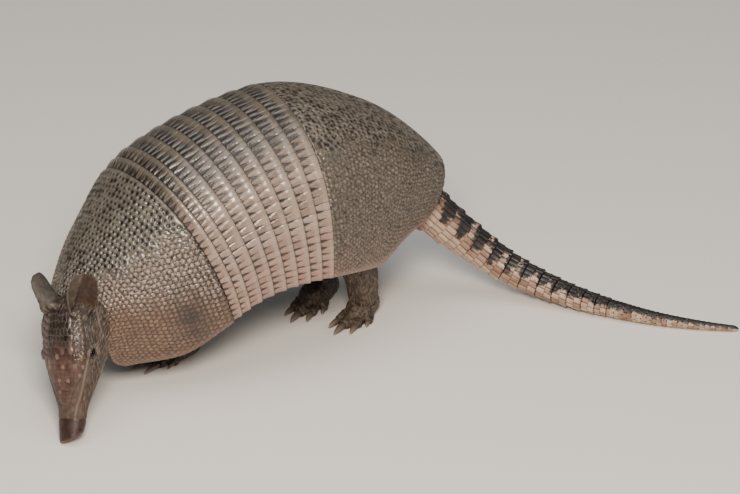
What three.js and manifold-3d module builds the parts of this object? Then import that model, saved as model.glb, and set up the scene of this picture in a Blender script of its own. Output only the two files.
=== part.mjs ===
// A nine-banded armadillo at life size: nosing the ground, back arched and curved to
// its left, tail laid out behind. Head toward -X, its left side toward -Y, +Z up,
// millimetres. The origin is on the floor under the middle of the whole footprint.
//
// The armour is a family of cross-sections strung on one curved body line. Every
// shield and band, and the trunk under them, is cut from that one surface, so all of
// them share its outline. A place on the shell is (u, t): u runs along the body line
// from the neck opening (0) to the tail opening (1), and t runs round the back from
// the right rim (-1) over the ridge (0) to the left rim (1).
import * as THREE from 'three';
import { mergeVertices } from 'three/addons/utils/BufferGeometryUtils.js';
import Module from 'manifold-3d';

const wasm = await Module();
wasm.setup();

// ---- Driving dimensions: millimetres, or degrees where the name says so ----
// Places are given from the point on the floor under the waist, where the back is highest.
const FOOTPRINT_MIDDLE = [32.4, -55];
const GAP = 0.3;

// Body line
const WAIST_U = 0.6;
const WAIST_HEIGHT = 115.5;
const SHELL_LENGTH = 315;
const HEADING_DEGREES = { neck: 12.5, tail: -12 };
const DESCENT_DEGREES = { neck: 28.5, tail: -27, bow: 11.5 };

// Shell cross-sections
const STATIONS = [0, 0.15, 0.35, 0.6, 0.82, 1];
const HALF_WIDTH = [30, 57, 75, 77, 60, 29];
const RIDGE_HEIGHT = [39, 57, 79, 78, 54.5, 23];
const SKIRT_DROP = [31, 46, 37, 46.5, 53.5, 20.5];
const SKIRT_START = 0.68;      // t where the arch ends and the hanging skirt begins
const SKIRT_TUCK = 0.08;       // how far the rim turns in, as a share of the half-width
const ARCH_SIDE_POWER = 0.92;
const ARCH_TOP_POWER = 0.95;

// Plates
const PLATE_THICKNESS = 2.4;
const MARGIN_LIFT = 0.7;       // how proud a plate's rear edge stands
const BAND_EDGES = [0.28, 0.308, 0.338, 0.378, 0.418, 0.459, 0.499, 0.54, 0.58, 0.62];
const PLATE_SEGMENTS = 22;
const EDGE_BULGE = 0.014;      // how far the front edge swells forward above its corners, in u
const EDGE_CORNER = 0.008;     // and how far the corners themselves are rounded back

// Trunk under the plates
const TRUNK_INSET = PLATE_THICKNESS + 1.1;
const TRUNK_WRAP = 0.86;       // t where the flank turns under into the belly
const TRUNK_ENDS = { neck: 0.03, tail: 0.975 };
const BELLY_SAG = 12;

// Head, measured from the nose back along its own line
const NOSE = [-220, -81, 4];
const HEAD_TURN_DEGREES = { yaw: 56, pitch: 58, roll: 28 };
const HEAD_STATIONS = [0, 8, 20, 33, 47, 59, 76, 89, 98, 104];
const HEAD_HALF_WIDTH = [9.2, 10.4, 11, 15, 19.7, 23, 24.6, 23, 18.5, 8];
const HEAD_CROWN = [6.8, 7.9, 9, 12.4, 16.4, 19, 21, 20, 15.5, 7];
const HEAD_THROAT = [6.6, 8.2, 10, 13.6, 18.2, 22, 25, 24, 18, 8];
const HEAD_SIDES = 16;
const NOSE_PAD_LENGTH = 13;
// The snout ends in a slanted disc: millimetres further on per millimetre toward its crown or left
const NOSE_SLANT = { crown: 0.45, left: -0.32 };
const HEAD_SHIELD = {
  thickness: 1.5, clearance: 0.45, front: 19, rear: 91, frontAngle: 12, middleAngle: 52, rearAngle: 40,
};
const EYE = { radius: 4.2, along: 60, angleDegrees: 63, sink: 2.2 };
const EAR = { halfWidth: 11.7, thickness: 1.3, sink: 3, cupDegrees: 150 };
// Each ear: its root on the head, the way its tip points and the way its cup faces
const EARS = {
  left: { along: 91, angleDegrees: 31, length: 31, tip: [0.03, -0.18, 0.96], faces: [-0.04, -0.86, 0.37] },
  right: { along: 95, angleDegrees: -14, length: 28, tip: [-0.28, 0.68, 0.68], faces: [-0.56, 0.4, -0.73] },
};

// Tail: points along its middle, and its radius at equal steps along it
const TAIL_LINE = [
  [104, -9, 97], [127, -18, 70], [149, -29.5, 47.5], [172, -47.5, 26.5], [194, -73, 14],
  [213, -103, 8.8], [242, -142, 5.2], [268, -168, 3.3], [292.5, -187, 1.7],
];
const TAIL_RADIUS = [20, 16.5, 14, 12, 9.6, 7.6, 5.6, 3.9, 2.2];
const TAIL_RINGS = 12;
const TAIL_START = 0.055;      // where the first ring begins, as a share of the tail line
const TAIL_RINGS_END = 0.66;
const FIRST_RING_SHARE = 1.35; // first ring's length over the mean ring's
const RING_FLARE = 0.05;       // how far a ring's rear edge stands out, as a share of its radius
const TAIL_SIDES = 12;

// Legs: joints as [x, y, z, radius], from inside the trunk down to the ankle or wrist
const LEGS = {
  foreleg_left: [[-94, -18, 84, 21], [-74, -14, 52, 17], [-74, -7, 28, 12], [-80, -5, 14, 9.5]],
  foreleg_right: [[-92, 26, 84, 21], [-70, 30, 52, 17], [-70, 27, 28, 12], [-76, 24.5, 14, 9.5]],
  hindleg_left: [[46, -32, 88, 23], [51, -30, 58, 16], [57, -27, 38, 12.8], [63, -20, 17, 11.5]],
  hindleg_right: [[50, 24, 88, 23], [42, 25, 60, 17], [46, 25, 38, 13.5], [54, 23, 19, 11.5]],
};
// Feet: heel and ball as [x, y, z, radius], and the way the toes point
const FEET = {
  forefoot_left: { heel: [-78, -4, 8.5, 8.6], ball: [-93, -6, 6, 9.2], toward: 10 },
  forefoot_right: { heel: [-74, 24, 8.5, 8.6], ball: [-89, 26, 6, 9.2], toward: -6 },
  hindfoot_left: { heel: [69, -16, 9.5, 9.6], ball: [59, -21, 6.5, 11], toward: 26 },
  hindfoot_right: { heel: [57, 25, 9.5, 10], ball: [40, 15, 8, 11.5], toward: 30 },
};
// Toes, from the inner one out: where each leaves the foot, `across` and `ahead` of the
// middle of the ball (shares of its radius), how far it fans out, its reach, radius and claw
const FORE_TOES = [
  { across: -0.6, ahead: -0.1, fan: -18, reach: 8, radius: 3.3, claw: 9 },
  { across: -0.22, ahead: 0.4, fan: -5, reach: 12, radius: 4.1, claw: 18 },
  { across: 0.24, ahead: 0.4, fan: 7, reach: 11.5, radius: 4.1, claw: 16 },
  { across: 0.62, ahead: -0.1, fan: 20, reach: 7, radius: 3.2, claw: 8 },
];
const HIND_TOES = [
  { across: -0.84, ahead: -0.3, fan: -20, reach: 6.5, radius: 3.4, claw: 6 },
  { across: -0.38, ahead: 0.3, fan: -11, reach: 11.5, radius: 4.2, claw: 10 },
  { across: 0, ahead: 0.4, fan: 0, reach: 14, radius: 4.6, claw: 13 },
  { across: 0.38, ahead: 0.3, fan: 11, reach: 11, radius: 4.2, claw: 10 },
  { across: 0.84, ahead: -0.3, fan: 20, reach: 6.5, radius: 3.4, claw: 6 },
];
const CLAW_WIDTH_SHARE = 0.62; // claw radius over toe radius

// ---- Small helpers ----
const radians = THREE.MathUtils.degToRad;
const mix = THREE.MathUtils.lerp;
const vector = (xyz) => new THREE.Vector3(xyz[0], xyz[1], xyz[2]);
const place = (origin, ...steps) => steps.reduce(
  (p, [axis, length]) => p.addScaledVector(axis, length), origin.clone());

// A smooth curve through given values that never overshoots them.
function through(stations, values) {
  const last = stations.length - 1;
  const step = stations.slice(1).map((s, i) => s - stations[i]);
  const rise = step.map((h, i) => (values[i + 1] - values[i]) / h);
  const slope = values.map((_, i) => {
    if (i === 0 || i === last) return rise[Math.min(i, last - 1)];
    if (rise[i - 1] * rise[i] <= 0) return 0;
    const before = 2 * step[i] + step[i - 1];
    const after = step[i] + 2 * step[i - 1];
    return (before + after) / (before / rise[i - 1] + after / rise[i]);
  });
  return (at) => {
    const s = THREE.MathUtils.clamp(at, stations[0], stations[last]);
    let i = 0;
    while (i < last - 1 && s > stations[i + 1]) i += 1;
    const x = (s - stations[i]) / step[i];
    const a = values[i];
    const b = a + step[i] * slope[i] / 3;
    const d = values[i + 1];
    const c = d - step[i] * slope[i + 1] / 3;
    const y = 1 - x;
    return y * y * y * a + 3 * y * y * x * b + 3 * y * x * x * c + x * x * x * d;
  };
}

// A geometry from points and triangles, turned so that its faces point outwards.
function closed(points, triangles) {
  let volume = 0;
  for (const [a, b, c] of triangles) volume += points[a].dot(points[b].clone().cross(points[c]));
  const ordered = volume < 0 ? triangles.map(([a, b, c]) => [a, c, b]) : triangles;
  const geometry = new THREE.BufferGeometry();
  geometry.setAttribute('position', new THREE.Float32BufferAttribute(points.flatMap((p) => p.toArray()), 3));
  geometry.setIndex(ordered.flat());
  return mergeVertices(geometry, 1e-4);
}

// A solid skin over a row of closed rings, with each end closed on one point.
function loft(rings, startPoint, endPoint) {
  const sides = rings[0].length;
  const points = rings.flat();
  const triangles = [];
  for (let r = 0; r + 1 < rings.length; r += 1) {
    for (let s = 0; s < sides; s += 1) {
      const a = r * sides + s;
      const b = r * sides + (s + 1) % sides;
      triangles.push([a, b, b + sides], [a, b + sides, a + sides]);
    }
  }
  const start = points.push(startPoint) - 1;
  const end = points.push(endPoint) - 1;
  const lastRing = (rings.length - 1) * sides;
  for (let s = 0; s < sides; s += 1) {
    const next = (s + 1) % sides;
    triangles.push([start, next, s], [end, lastRing + s, lastRing + next]);
  }
  return closed(points, triangles);
}

// A solid sheet between an outer and an inner grid of points.
function sheet(outer, inner) {
  const rows = outer.length;
  const columns = outer[0].length;
  const points = [...outer.flat(), ...inner.flat()];
  const out = (r, c) => r * columns + c;
  const under = (r, c) => rows * columns + out(r, c);
  const triangles = [];
  const quad = (a, b, c, d) => triangles.push([a, b, c], [a, c, d]);
  for (let r = 0; r + 1 < rows; r += 1) {
    for (let c = 0; c + 1 < columns; c += 1) {
      quad(out(r, c), out(r, c + 1), out(r + 1, c + 1), out(r + 1, c));
      quad(under(r, c), under(r + 1, c), under(r + 1, c + 1), under(r, c + 1));
    }
    quad(out(r, 0), out(r + 1, 0), under(r + 1, 0), under(r, 0));
    quad(out(r, columns - 1), under(r, columns - 1), under(r + 1, columns - 1), out(r + 1, columns - 1));
  }
  for (let c = 0; c + 1 < columns; c += 1) {
    quad(out(0, c), under(0, c), under(0, c + 1), out(0, c + 1));
    quad(out(rows - 1, c), out(rows - 1, c + 1), under(rows - 1, c + 1), under(rows - 1, c));
  }
  return closed(points, triangles);
}

// ---- Joining and cutting ----
function solid(geometry) {
  const bare = geometry.clone();
  bare.deleteAttribute('normal');
  bare.deleteAttribute('uv');
  const merged = mergeVertices(bare, 1e-4);
  return new wasm.Manifold(new wasm.Mesh({
    numProp: 3,
    vertProperties: new Float32Array(merged.attributes.position.array),
    triVerts: new Uint32Array(merged.index.array),
  }));
}

function surface(body) {
  const mesh = body.getMesh();
  const geometry = new THREE.BufferGeometry();
  geometry.setAttribute('position', new THREE.Float32BufferAttribute(mesh.vertProperties, 3));
  geometry.setIndex(new THREE.Uint32BufferAttribute(mesh.triVerts, 1));
  return geometry;
}

const joined = (geometries) => surface(geometries.map(solid).reduce((a, b) => a.add(b)));
const cut = (geometry, cutters) => surface(
  cutters.map(solid).reduce((a, b) => a.subtract(b), solid(geometry)));

// Everything below the floor, taken off whatever rests on it.
const FLOOR_SIZE = 900;
const belowFloor = new THREE.BoxGeometry(FLOOR_SIZE, FLOOR_SIZE, FLOOR_SIZE).translate(0, 0, -FLOOR_SIZE / 2);

// ---- Materials and the group ----
const group = new THREE.Group();
group.position.set(-FOOTPRINT_MIDDLE[0], -FOOTPRINT_MIDDLE[1], 0);

const horn = (color) => new THREE.MeshStandardMaterial({ color, roughness: 0.42, metalness: 0 });
const skin = (color) => new THREE.MeshStandardMaterial({ color, roughness: 0.7, metalness: 0 });
const wet = (color) => new THREE.MeshStandardMaterial({ color, roughness: 0.08, metalness: 0 });

function add(name, geometry, material) {
  const mesh = new THREE.Mesh(geometry, material);
  mesh.name = name;
  group.add(mesh);
}

// ---- The body line and the shell surface ----
const halfWidthAt = through(STATIONS, HALF_WIDTH);
const ridgeAt = through(STATIONS, RIDGE_HEIGHT);
const dropAt = through(STATIONS, SKIRT_DROP);

// Axes of a body that heads `yaw` to its left of -X and points `pitch` down.
function axesOf(yaw, pitch) {
  const level = new THREE.Vector3(-Math.cos(yaw), -Math.sin(yaw), 0);
  const forward = level.clone().multiplyScalar(Math.cos(pitch)).setZ(-Math.sin(pitch));
  const left = new THREE.Vector3(Math.sin(yaw), -Math.cos(yaw), 0);
  const up = level.clone().multiplyScalar(Math.sin(pitch)).setZ(Math.cos(pitch));
  return { forward, left, up };
}

function bodyAxes(u) {
  const yaw = mix(HEADING_DEGREES.neck, HEADING_DEGREES.tail, u);
  const bow = DESCENT_DEGREES.bow * 4 * u * (1 - u);
  const pitch = mix(DESCENT_DEGREES.neck, DESCENT_DEGREES.tail, u) + bow;
  return axesOf(radians(yaw), radians(pitch));
}

// The body line, walked in short straight steps out from the waist.
function bodyPoint(u) {
  const steps = 24;
  const point = new THREE.Vector3(0, 0, WAIST_HEIGHT);
  for (let i = 0; i < steps; i += 1) {
    const middle = mix(WAIST_U, u, (i + 0.5) / steps);
    point.addScaledVector(bodyAxes(middle).forward, (WAIST_U - u) * SHELL_LENGTH / steps);
  }
  return point;
}

function shellPoint(u, t) {
  const { left, up } = bodyAxes(u);
  const round = Math.min(Math.abs(t) / SKIRT_START, 1) * Math.PI / 2;
  const skirt = Math.max(0, (Math.abs(t) - SKIRT_START) / (1 - SKIRT_START));
  const arch = Math.sin(round) ** ARCH_SIDE_POWER - SKIRT_TUCK * skirt * skirt;
  const rise = ridgeAt(u) * Math.max(0, Math.cos(round)) ** ARCH_TOP_POWER - dropAt(u) * skirt;
  return place(bodyPoint(u), [left, Math.sign(t) * halfWidthAt(u) * arch], [up, rise]);
}

// The same place moved straight out of the shell by `out`.
function shellOffset(u, t, out) {
  const nudge = 0.004;
  const along = shellPoint(u + nudge, t).sub(shellPoint(u - nudge, t));
  const round = shellPoint(u, t + nudge).sub(shellPoint(u, t - nudge));
  return place(shellPoint(u, t), [round.cross(along).normalize(), out]);
}

// A plate from u = front to u = rear. Each row is [share of the way back, lift].
function plate(front, rear, rows, spare = 0, frontEdge = () => 0) {
  const inner = [];
  const outer = [];
  const spareU = spare / SHELL_LENGTH;
  const rim = 1 + spare / Math.min(...HALF_WIDTH);
  const around = [...Array(PLATE_SEGMENTS + 1).keys()].map((i) => rim * (2 * i / PLATE_SEGMENTS - 1));
  for (const [share, lift] of rows) {
    const across = around.map((t) => [mix(front - spareU + frontEdge(t), rear + spareU, share), t]);
    outer.push(across.map(([u, t]) => shellOffset(u, t, lift + spare)));
    inner.push(across.map(([u, t]) => shellOffset(u, t, -PLATE_THICKNESS - spare)));
  }
  return sheet(outer, inner);
}

// Rows for a long shield: evenly spaced, with the last one standing proud.
function shieldRows(count) {
  const even = [...Array(count).keys()].map((i) => [i / (count - 1), 0]);
  even[count - 1][1] = MARGIN_LIFT;
  return even;
}

const bandRows = [[0, -MARGIN_LIFT], [1, MARGIN_LIFT]];
const halfGap = GAP / SHELL_LENGTH / 2;

// The shoulder shield's front edge swells forward at the sides and turns in at its corners.
function neckEdge(t) {
  const side = THREE.MathUtils.clamp((Math.abs(t) - 0.45) / 0.55, 0, 1);
  return EDGE_CORNER * side ** 8 - EDGE_BULGE * Math.sin(Math.PI * side ** 2.2);
}

const scapular = (spare) => plate(0, BAND_EDGES[0] - halfGap, shieldRows(6), spare, neckEdge);

add('scapular_shield', scapular(0), horn('#a08a78'));
for (let band = 1; band < BAND_EDGES.length; band += 1) {
  const front = BAND_EDGES[band - 1] + halfGap;
  const rear = BAND_EDGES[band] - halfGap;
  add(`band_${band}`, plate(front, rear, bandRows), horn('#c4b19d'));
}
add('pelvic_shield', plate(BAND_EDGES.at(-1) + halfGap, 1, shieldRows(7)), horn('#7c7062'));

// ---- Head ----
const headTurn = axesOf(radians(HEAD_TURN_DEGREES.yaw), radians(HEAD_TURN_DEGREES.pitch));
const roll = radians(HEAD_TURN_DEGREES.roll);
const headBack = headTurn.forward.clone().negate();
const headCrown = place(headTurn.up.clone().multiplyScalar(Math.cos(roll)), [headTurn.left, -Math.sin(roll)]);
const headLeft = place(headTurn.left.clone().multiplyScalar(Math.cos(roll)), [headTurn.up, Math.sin(roll)]);
const headWidthAt = through(HEAD_STATIONS, HEAD_HALF_WIDTH);
const crownAt = through(HEAD_STATIONS, HEAD_CROWN);
const throatAt = through(HEAD_STATIONS, HEAD_THROAT);

// A place on the head: `along` from the nose, `angle` from the crown toward its left.
function headPoint(along, angle, out = 0) {
  const height = Math.cos(angle) > 0 ? crownAt(along) : throatAt(along);
  const across = (headWidthAt(along) + out) * Math.sin(angle);
  const rise = (height + out) * Math.cos(angle);
  const slant = (NOSE_SLANT.crown * rise + NOSE_SLANT.left * across) * Math.max(0, 1 - along / NOSE_PAD_LENGTH);
  return place(vector(NOSE), [headBack, along - slant], [headLeft, across], [headCrown, rise]);
}

function headRing(along, out = 0) {
  return [...Array(HEAD_SIDES).keys()].map((i) => headPoint(along, 2 * Math.PI * i / HEAD_SIDES, out));
}

const onHeadLine = (along) => place(vector(NOSE), [headBack, along]);
const headLoft = (stations, front, rear, out = 0) => loft(
  stations.map((along) => headRing(along, out)), onHeadLine(front), onHeadLine(rear));

// The bony shield on the forehead: a leaf shape, pointed toward the nose.
function headShield(inside, outside, spare = 0) {
  const front = HEAD_SHIELD.front - spare;
  const rear = HEAD_SHIELD.rear + spare;
  const { frontAngle, middleAngle, rearAngle } = HEAD_SHIELD;
  const spareAngle = spare / Math.min(...HEAD_HALF_WIDTH);
  const spreads = [frontAngle, middleAngle, rearAngle].map((angle) => radians(angle) + spareAngle);
  const spreadAt = through([0, 0.45, 1], spreads);
  const rows = 7;
  const columns = 9;
  const grid = (out) => [...Array(rows).keys()].map((r) => {
    const share = r / (rows - 1);
    return [...Array(columns).keys()].map((c) => {
      const across = 2 * c / (columns - 1) - 1;
      return headPoint(mix(front, rear, share), across * spreadAt(share), out);
    });
  });
  return sheet(grid(outside), grid(inside));
}

function eyeCentre(side) {
  return headPoint(EYE.along, side * radians(EYE.angleDegrees), -EYE.sink);
}

function eyeball(side, spare = 0) {
  const centre = eyeCentre(side);
  return new THREE.SphereGeometry(EYE.radius + spare, 10, 6).translate(centre.x, centre.y, centre.z);
}

const scapularRoom = scapular(GAP);
const headStations = [NOSE_PAD_LENGTH + GAP, 23, 34, 45, 55, 65, 75, 85, 93, 100, 104];
const headSkin = headLoft(headStations, NOSE_PAD_LENGTH + GAP, 106);
const sockets = [eyeball(1, GAP), eyeball(-1, GAP)];
const head = cut(headSkin, [...sockets, scapularRoom]);
add('head', head, skin('#8a6f62'));
const shieldTop = HEAD_SHIELD.clearance + HEAD_SHIELD.thickness;
add('head_shield', headShield(HEAD_SHIELD.clearance, shieldTop), horn('#5a4a42'));
const nosePad = headLoft([0, 3, 8, NOSE_PAD_LENGTH], -1.5, NOSE_PAD_LENGTH);
add('nose_pad', cut(nosePad, [belowFloor]), skin('#4d332c'));
add('eye_left', eyeball(1), wet('#120d0b'));
add('eye_right', eyeball(-1), wet('#120d0b'));

// Ears: a cupped leaf on a rolled foot.
const earWidthShareAt = through([0, 0.25, 0.6, 0.85, 1], [0.5, 0.82, 1, 0.9, 0.5]);
const earCupAt = through([0, 0.35, 1], [EAR.cupDegrees, 78, 40].map(radians));

function ear({ along, angleDegrees, length, tip, faces }) {
  const root = headPoint(along, radians(angleDegrees), -EAR.sink);
  const rise = vector(tip).normalize();
  const across = rise.clone().cross(vector(faces)).normalize();
  const opening = across.clone().cross(rise).normalize();
  const grid = (thickness) => [0, 0.2, 0.45, 0.7, 0.88, 1].map((s) => {
    const cup = earCupAt(s);
    const halfWidth = EAR.halfWidth * earWidthShareAt(s);
    const radius = halfWidth / Math.sin(Math.min(cup, Math.PI / 2)) + thickness;
    return [...Array(7).keys()].map((i) => {
      const turn = (i / 3 - 1) * cup;
      const depth = radius * (1 - Math.cos(turn)) - thickness;
      return place(root, [rise, s * length], [across, radius * Math.sin(turn)], [opening, depth]);
    });
  });
  return sheet(grid(EAR.thickness), grid(-0.001));
}

const shieldRoom = headShield(0, shieldTop + GAP, GAP);
const headRoom = headLoft(headStations, NOSE_PAD_LENGTH, 106 + GAP, GAP);
for (const [side, placed] of Object.entries(EARS)) {
  add(`ear_${side}`, cut(ear(placed), [headRoom, scapularRoom, shieldRoom]), skin('#6b5145'));
}

// ---- Trunk: the same surface, inset, with the belly closing it below ----
function trunkRing(u, out = 0) {
  const around = 16;
  const beneath = 5;
  const points = [...Array(around + 1).keys()].map((i) => {
    const t = TRUNK_WRAP * (2 * i / around - 1);
    return shellOffset(u, t, out - TRUNK_INSET);
  });
  const { up } = bodyAxes(u);
  const from = points[around];
  const to = points[0];
  for (let i = 1; i < beneath; i += 1) {
    const share = i / beneath;
    const depth = BELLY_SAG * halfWidthAt(u) / Math.max(...HALF_WIDTH) + out;
    const sag = depth * Math.sin(Math.PI * share) ** 0.8;
    points.push(place(from.clone().lerp(to, share), [up, -sag]));
  }
  return points;
}

function trunkLoft(out) {
  const { neck, tail } = TRUNK_ENDS;
  const stations = [neck, 0.1, 0.19, 0.28, 0.39, 0.5, 0.62, 0.74, 0.84, 0.92, tail];
  const rings = stations.map((u) => trunkRing(u, out));
  return loft(rings, bodyPoint(neck - out / SHELL_LENGTH), bodyPoint(tail + out / SHELL_LENGTH));
}

const trunkRoom = trunkLoft(GAP);

// ---- Tail: overlapping rings, then a slender scaled tip ----
const tailLine = new THREE.CatmullRomCurve3(TAIL_LINE.map(vector), false, 'centripetal');
const tailRadiusAt = through(TAIL_RADIUS.map((_, i) => i / (TAIL_RADIUS.length - 1)), TAIL_RADIUS);

function tailSection(at, scale) {
  const tangent = tailLine.getTangentAt(at);
  const side = new THREE.Vector3(0, 0, 1).cross(tangent).normalize();
  const top = tangent.clone().cross(side);
  const radius = tailRadiusAt(at) * scale;
  return [...Array(TAIL_SIDES).keys()].map((i) => {
    const turn = 2 * Math.PI * i / TAIL_SIDES;
    return place(tailLine.getPointAt(at), [side, radius * Math.cos(turn)], [top, radius * Math.sin(turn)]);
  });
}

const tailLength = tailLine.getLength();
const ringEdges = [TAIL_START];
for (let ring = 0; ring < TAIL_RINGS; ring += 1) {
  const share = mix(FIRST_RING_SHARE, 2 - FIRST_RING_SHARE, ring / (TAIL_RINGS - 1));
  ringEdges.push(ringEdges[ring] + share * (TAIL_RINGS_END - TAIL_START) / TAIL_RINGS);
}

function tailPiece(stations, scales, cutters) {
  const rings = stations.map((at, i) => tailSection(at, scales[i]));
  const ends = [stations[0], stations.at(-1)].map((at) => tailLine.getPointAt(at));
  return cut(loft(rings, ends[0], ends[1]), [belowFloor, ...cutters]);
}

const ringGap = GAP / tailLength / 2;
const pelvicRear = BAND_EDGES.at(-1);
const pelvicRoom = plate(pelvicRear, 1, shieldRows(7), GAP);
for (let ring = 1; ring <= TAIL_RINGS; ring += 1) {
  const front = ringEdges[ring - 1] + ringGap;
  const rear = ringEdges[ring] - ringGap;
  const pieces = [front, mix(front, rear, 0.7), rear];
  const flare = [1 - RING_FLARE, 1, 1 + RING_FLARE];
  const cutters = ring === 1 ? [trunkRoom, pelvicRoom] : [];
  add(`tail_ring_${ring}`, tailPiece(pieces, flare, cutters), horn(ring % 2 ? '#b89d82' : '#8f7a66'));
}
const tipStations = [ringEdges[TAIL_RINGS] + ringGap, 0.74, 0.82, 0.9, 0.96, 1];
add('tail_tip', tailPiece(tipStations, [0.96, 1, 1, 1, 1, 0.55], []), horn('#4a443f'));

// ---- Legs and feet ----
function limb(joints, steps, sides) {
  const line = new THREE.CatmullRomCurve3(joints.map(vector), false, 'centripetal');
  const radiusAt = through(joints.map((_, i) => i / (joints.length - 1)), joints.map((j) => j[3]));
  const rings = [];
  for (let i = 0; i <= steps; i += 1) {
    const at = i / steps;
    const tangent = line.getTangent(at);
    const side = new THREE.Vector3(0, -1, 0).cross(tangent).normalize();
    const front = tangent.clone().cross(side);
    const radius = radiusAt(at);
    rings.push([...Array(sides).keys()].map((k) => {
      const turn = 2 * Math.PI * k / sides;
      return place(line.getPoint(at), [side, radius * Math.cos(turn)], [front, radius * Math.sin(turn)]);
    }));
  }
  return loft(rings, line.getPoint(0), line.getPoint(1));
}

// A rounded pod between two [x, y, z, radius] ends, each end a half ball.
function pod(a, b, sides, spare = 0) {
  const from = vector(a);
  const to = vector(b);
  const along = to.clone().sub(from).normalize();
  const side = new THREE.Vector3(0, 0, 1).cross(along).normalize();
  const top = along.clone().cross(side);
  const rings = [];
  for (const [centre, size, caps] of [[from, a[3] + spare, [-50, 0]], [to, b[3] + spare, [0, 50]]]) {
    for (const cap of caps.map(radians)) {
      const middle = place(centre, [along, size * Math.sin(cap)]);
      rings.push([...Array(sides).keys()].map((k) => {
        const turn = 2 * Math.PI * k / sides;
        const reach = size * Math.cos(cap);
        return place(middle, [side, reach * Math.cos(turn)], [top, reach * Math.sin(turn)]);
      }));
    }
  }
  return loft(rings, place(from, [along, -a[3] - spare]), place(to, [along, b[3] + spare]));
}

// Where a toe leaves the ball of its foot, where it ends, and the way it points.
function toeEnds(foot, toe) {
  const heading = radians(foot.toward);
  const turn = heading + radians(toe.fan) * foot.side;
  const outward = new THREE.Vector3(Math.sin(heading), -Math.cos(heading), 0);
  const ahead = new THREE.Vector3(-Math.cos(turn), -Math.sin(turn), 0);
  const ball = vector(foot.ball);
  const size = foot.ball[3];
  const root = place(ball, [outward, foot.side * toe.across * size], [ahead, toe.ahead * size]);
  root.setZ(Math.max(toe.radius, ball.z * 0.8));
  const tip = place(root, [ahead, toe.reach]).setZ(toe.radius * 0.86);
  return { ahead, root, tip };
}

// A six-sided ring across a toe or claw: `wide` and `high` are its half sizes.
function digitRing(centre, ahead, wide, high) {
  const side = new THREE.Vector3(0, 0, 1).cross(ahead).normalize();
  const up = new THREE.Vector3(0, 0, 1);
  return [...Array(6).keys()].map((k) => {
    const turn = Math.PI * k / 3;
    return place(centre, [side, wide * Math.cos(turn)], [up, high * Math.sin(turn)]);
  });
}

const toeEnd = (toe) => toe.radius * 0.9;

// One toe: a tapered tube from the ball of the foot down and out to its claw.
function toeTube(foot, toe) {
  const { ahead, root, tip } = toeEnds(foot, toe);
  const end = place(tip, [ahead, toeEnd(toe)]);
  const rings = [[root, 1], [tip, 1], [end, 0.72]].map(
    ([centre, size]) => digitRing(centre, ahead, toe.radius * size, toe.radius * size));
  return loft(rings, root, end);
}

// A claw: curved down from the end of its toe to a blunt point on the floor.
function claw(foot, toe) {
  const { ahead, tip } = toeEnds(foot, toe);
  const radius = toe.radius * CLAW_WIDTH_SHARE;
  const start = place(tip, [ahead, toeEnd(toe) + GAP]);
  const rings = [[0, 1], [0.45, 0.86], [0.88, 0.4]].map(([share, size]) => {
    const drop = (start.z - radius * 0.3) * share * share;
    const middle = place(start, [ahead, share * toe.claw]).setZ(start.z - drop);
    return digitRing(middle, ahead, radius * size, radius * size * 0.85);
  });
  const point = place(start, [ahead, toe.claw]).setZ(radius * 0.25);
  return loft(rings, start, point);
}

for (const [name, shape] of Object.entries(FEET)) {
  const [kind, sideName] = name.split('_');
  const foot = { ...shape, side: sideName === 'left' ? 1 : -1 };
  const toes = kind === 'forefoot' ? FORE_TOES : HIND_TOES;
  const legName = name.replace('foot', 'leg');
  const shank = LEGS[legName];
  const flesh = [pod(foot.heel, foot.ball, 12)];
  for (const toe of toes) flesh.push(toeTube(foot, toe));
  add(name, cut(joined(flesh), [belowFloor]), skin('#6a5a50'));
  const footRoom = pod(foot.heel, foot.ball, 12, GAP);
  const leg = cut(limb(shank, 5, 10), [trunkRoom, footRoom, belowFloor]);
  add(legName, leg, skin('#6d5c52'));
  toes.forEach((toe, i) => {
    const digit = kind === 'forefoot' ? 'fore' : 'hind';
    add(`${digit}_claw_${sideName}_${i + 1}`, cut(claw(foot, toe), [belowFloor]), horn('#8d8378'));
  });
}

// ---- Neck, filling what is left between the trunk and the head ----
const NECK = [[-150, -10, 60, 26], [-170, -14, 57, 26], [-184, -22, 59, 25], [-196, -34, 60, 20]];
add('neck', cut(limb(NECK, 5, 12), [trunkRoom, headRoom, scapularRoom]), skin('#7d675a'));
add('trunk', cut(trunkLoft(0), [headRoom]), skin('#8b7264'));

export default group;
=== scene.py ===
import math
import bmesh
import bpy
import numpy as np
from mathutils import Matrix, Vector, noise
from mathutils.kdtree import KDTree


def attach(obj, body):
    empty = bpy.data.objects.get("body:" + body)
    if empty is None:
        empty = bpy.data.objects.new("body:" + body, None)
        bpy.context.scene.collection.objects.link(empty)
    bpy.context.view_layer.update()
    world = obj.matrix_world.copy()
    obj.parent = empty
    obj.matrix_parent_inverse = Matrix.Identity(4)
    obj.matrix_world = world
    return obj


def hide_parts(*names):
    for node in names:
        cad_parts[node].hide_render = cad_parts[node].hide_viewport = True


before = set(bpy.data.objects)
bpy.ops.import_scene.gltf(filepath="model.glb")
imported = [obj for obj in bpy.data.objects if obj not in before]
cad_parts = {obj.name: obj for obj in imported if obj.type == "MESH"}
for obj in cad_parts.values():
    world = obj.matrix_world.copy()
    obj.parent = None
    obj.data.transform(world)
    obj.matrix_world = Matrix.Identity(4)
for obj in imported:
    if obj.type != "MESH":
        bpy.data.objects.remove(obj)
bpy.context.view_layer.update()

# ---- Shoulder shield ----
# A dome of bony scutes under thin horn, grown together into one plate from the neck to the
# first band. Each round main scute sits in a ring of small ones, with hair pits between.
# It hangs over the shoulders like a saddle and is held to the skin along its inner face.
FOOTPRINT_MIDDLE = np.array([32.4, -55, 0])       # millimetres, from the spot under the waist
WAIST_U, WAIST_HEIGHT, SHELL_LENGTH = .6, 115.5, 315
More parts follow.
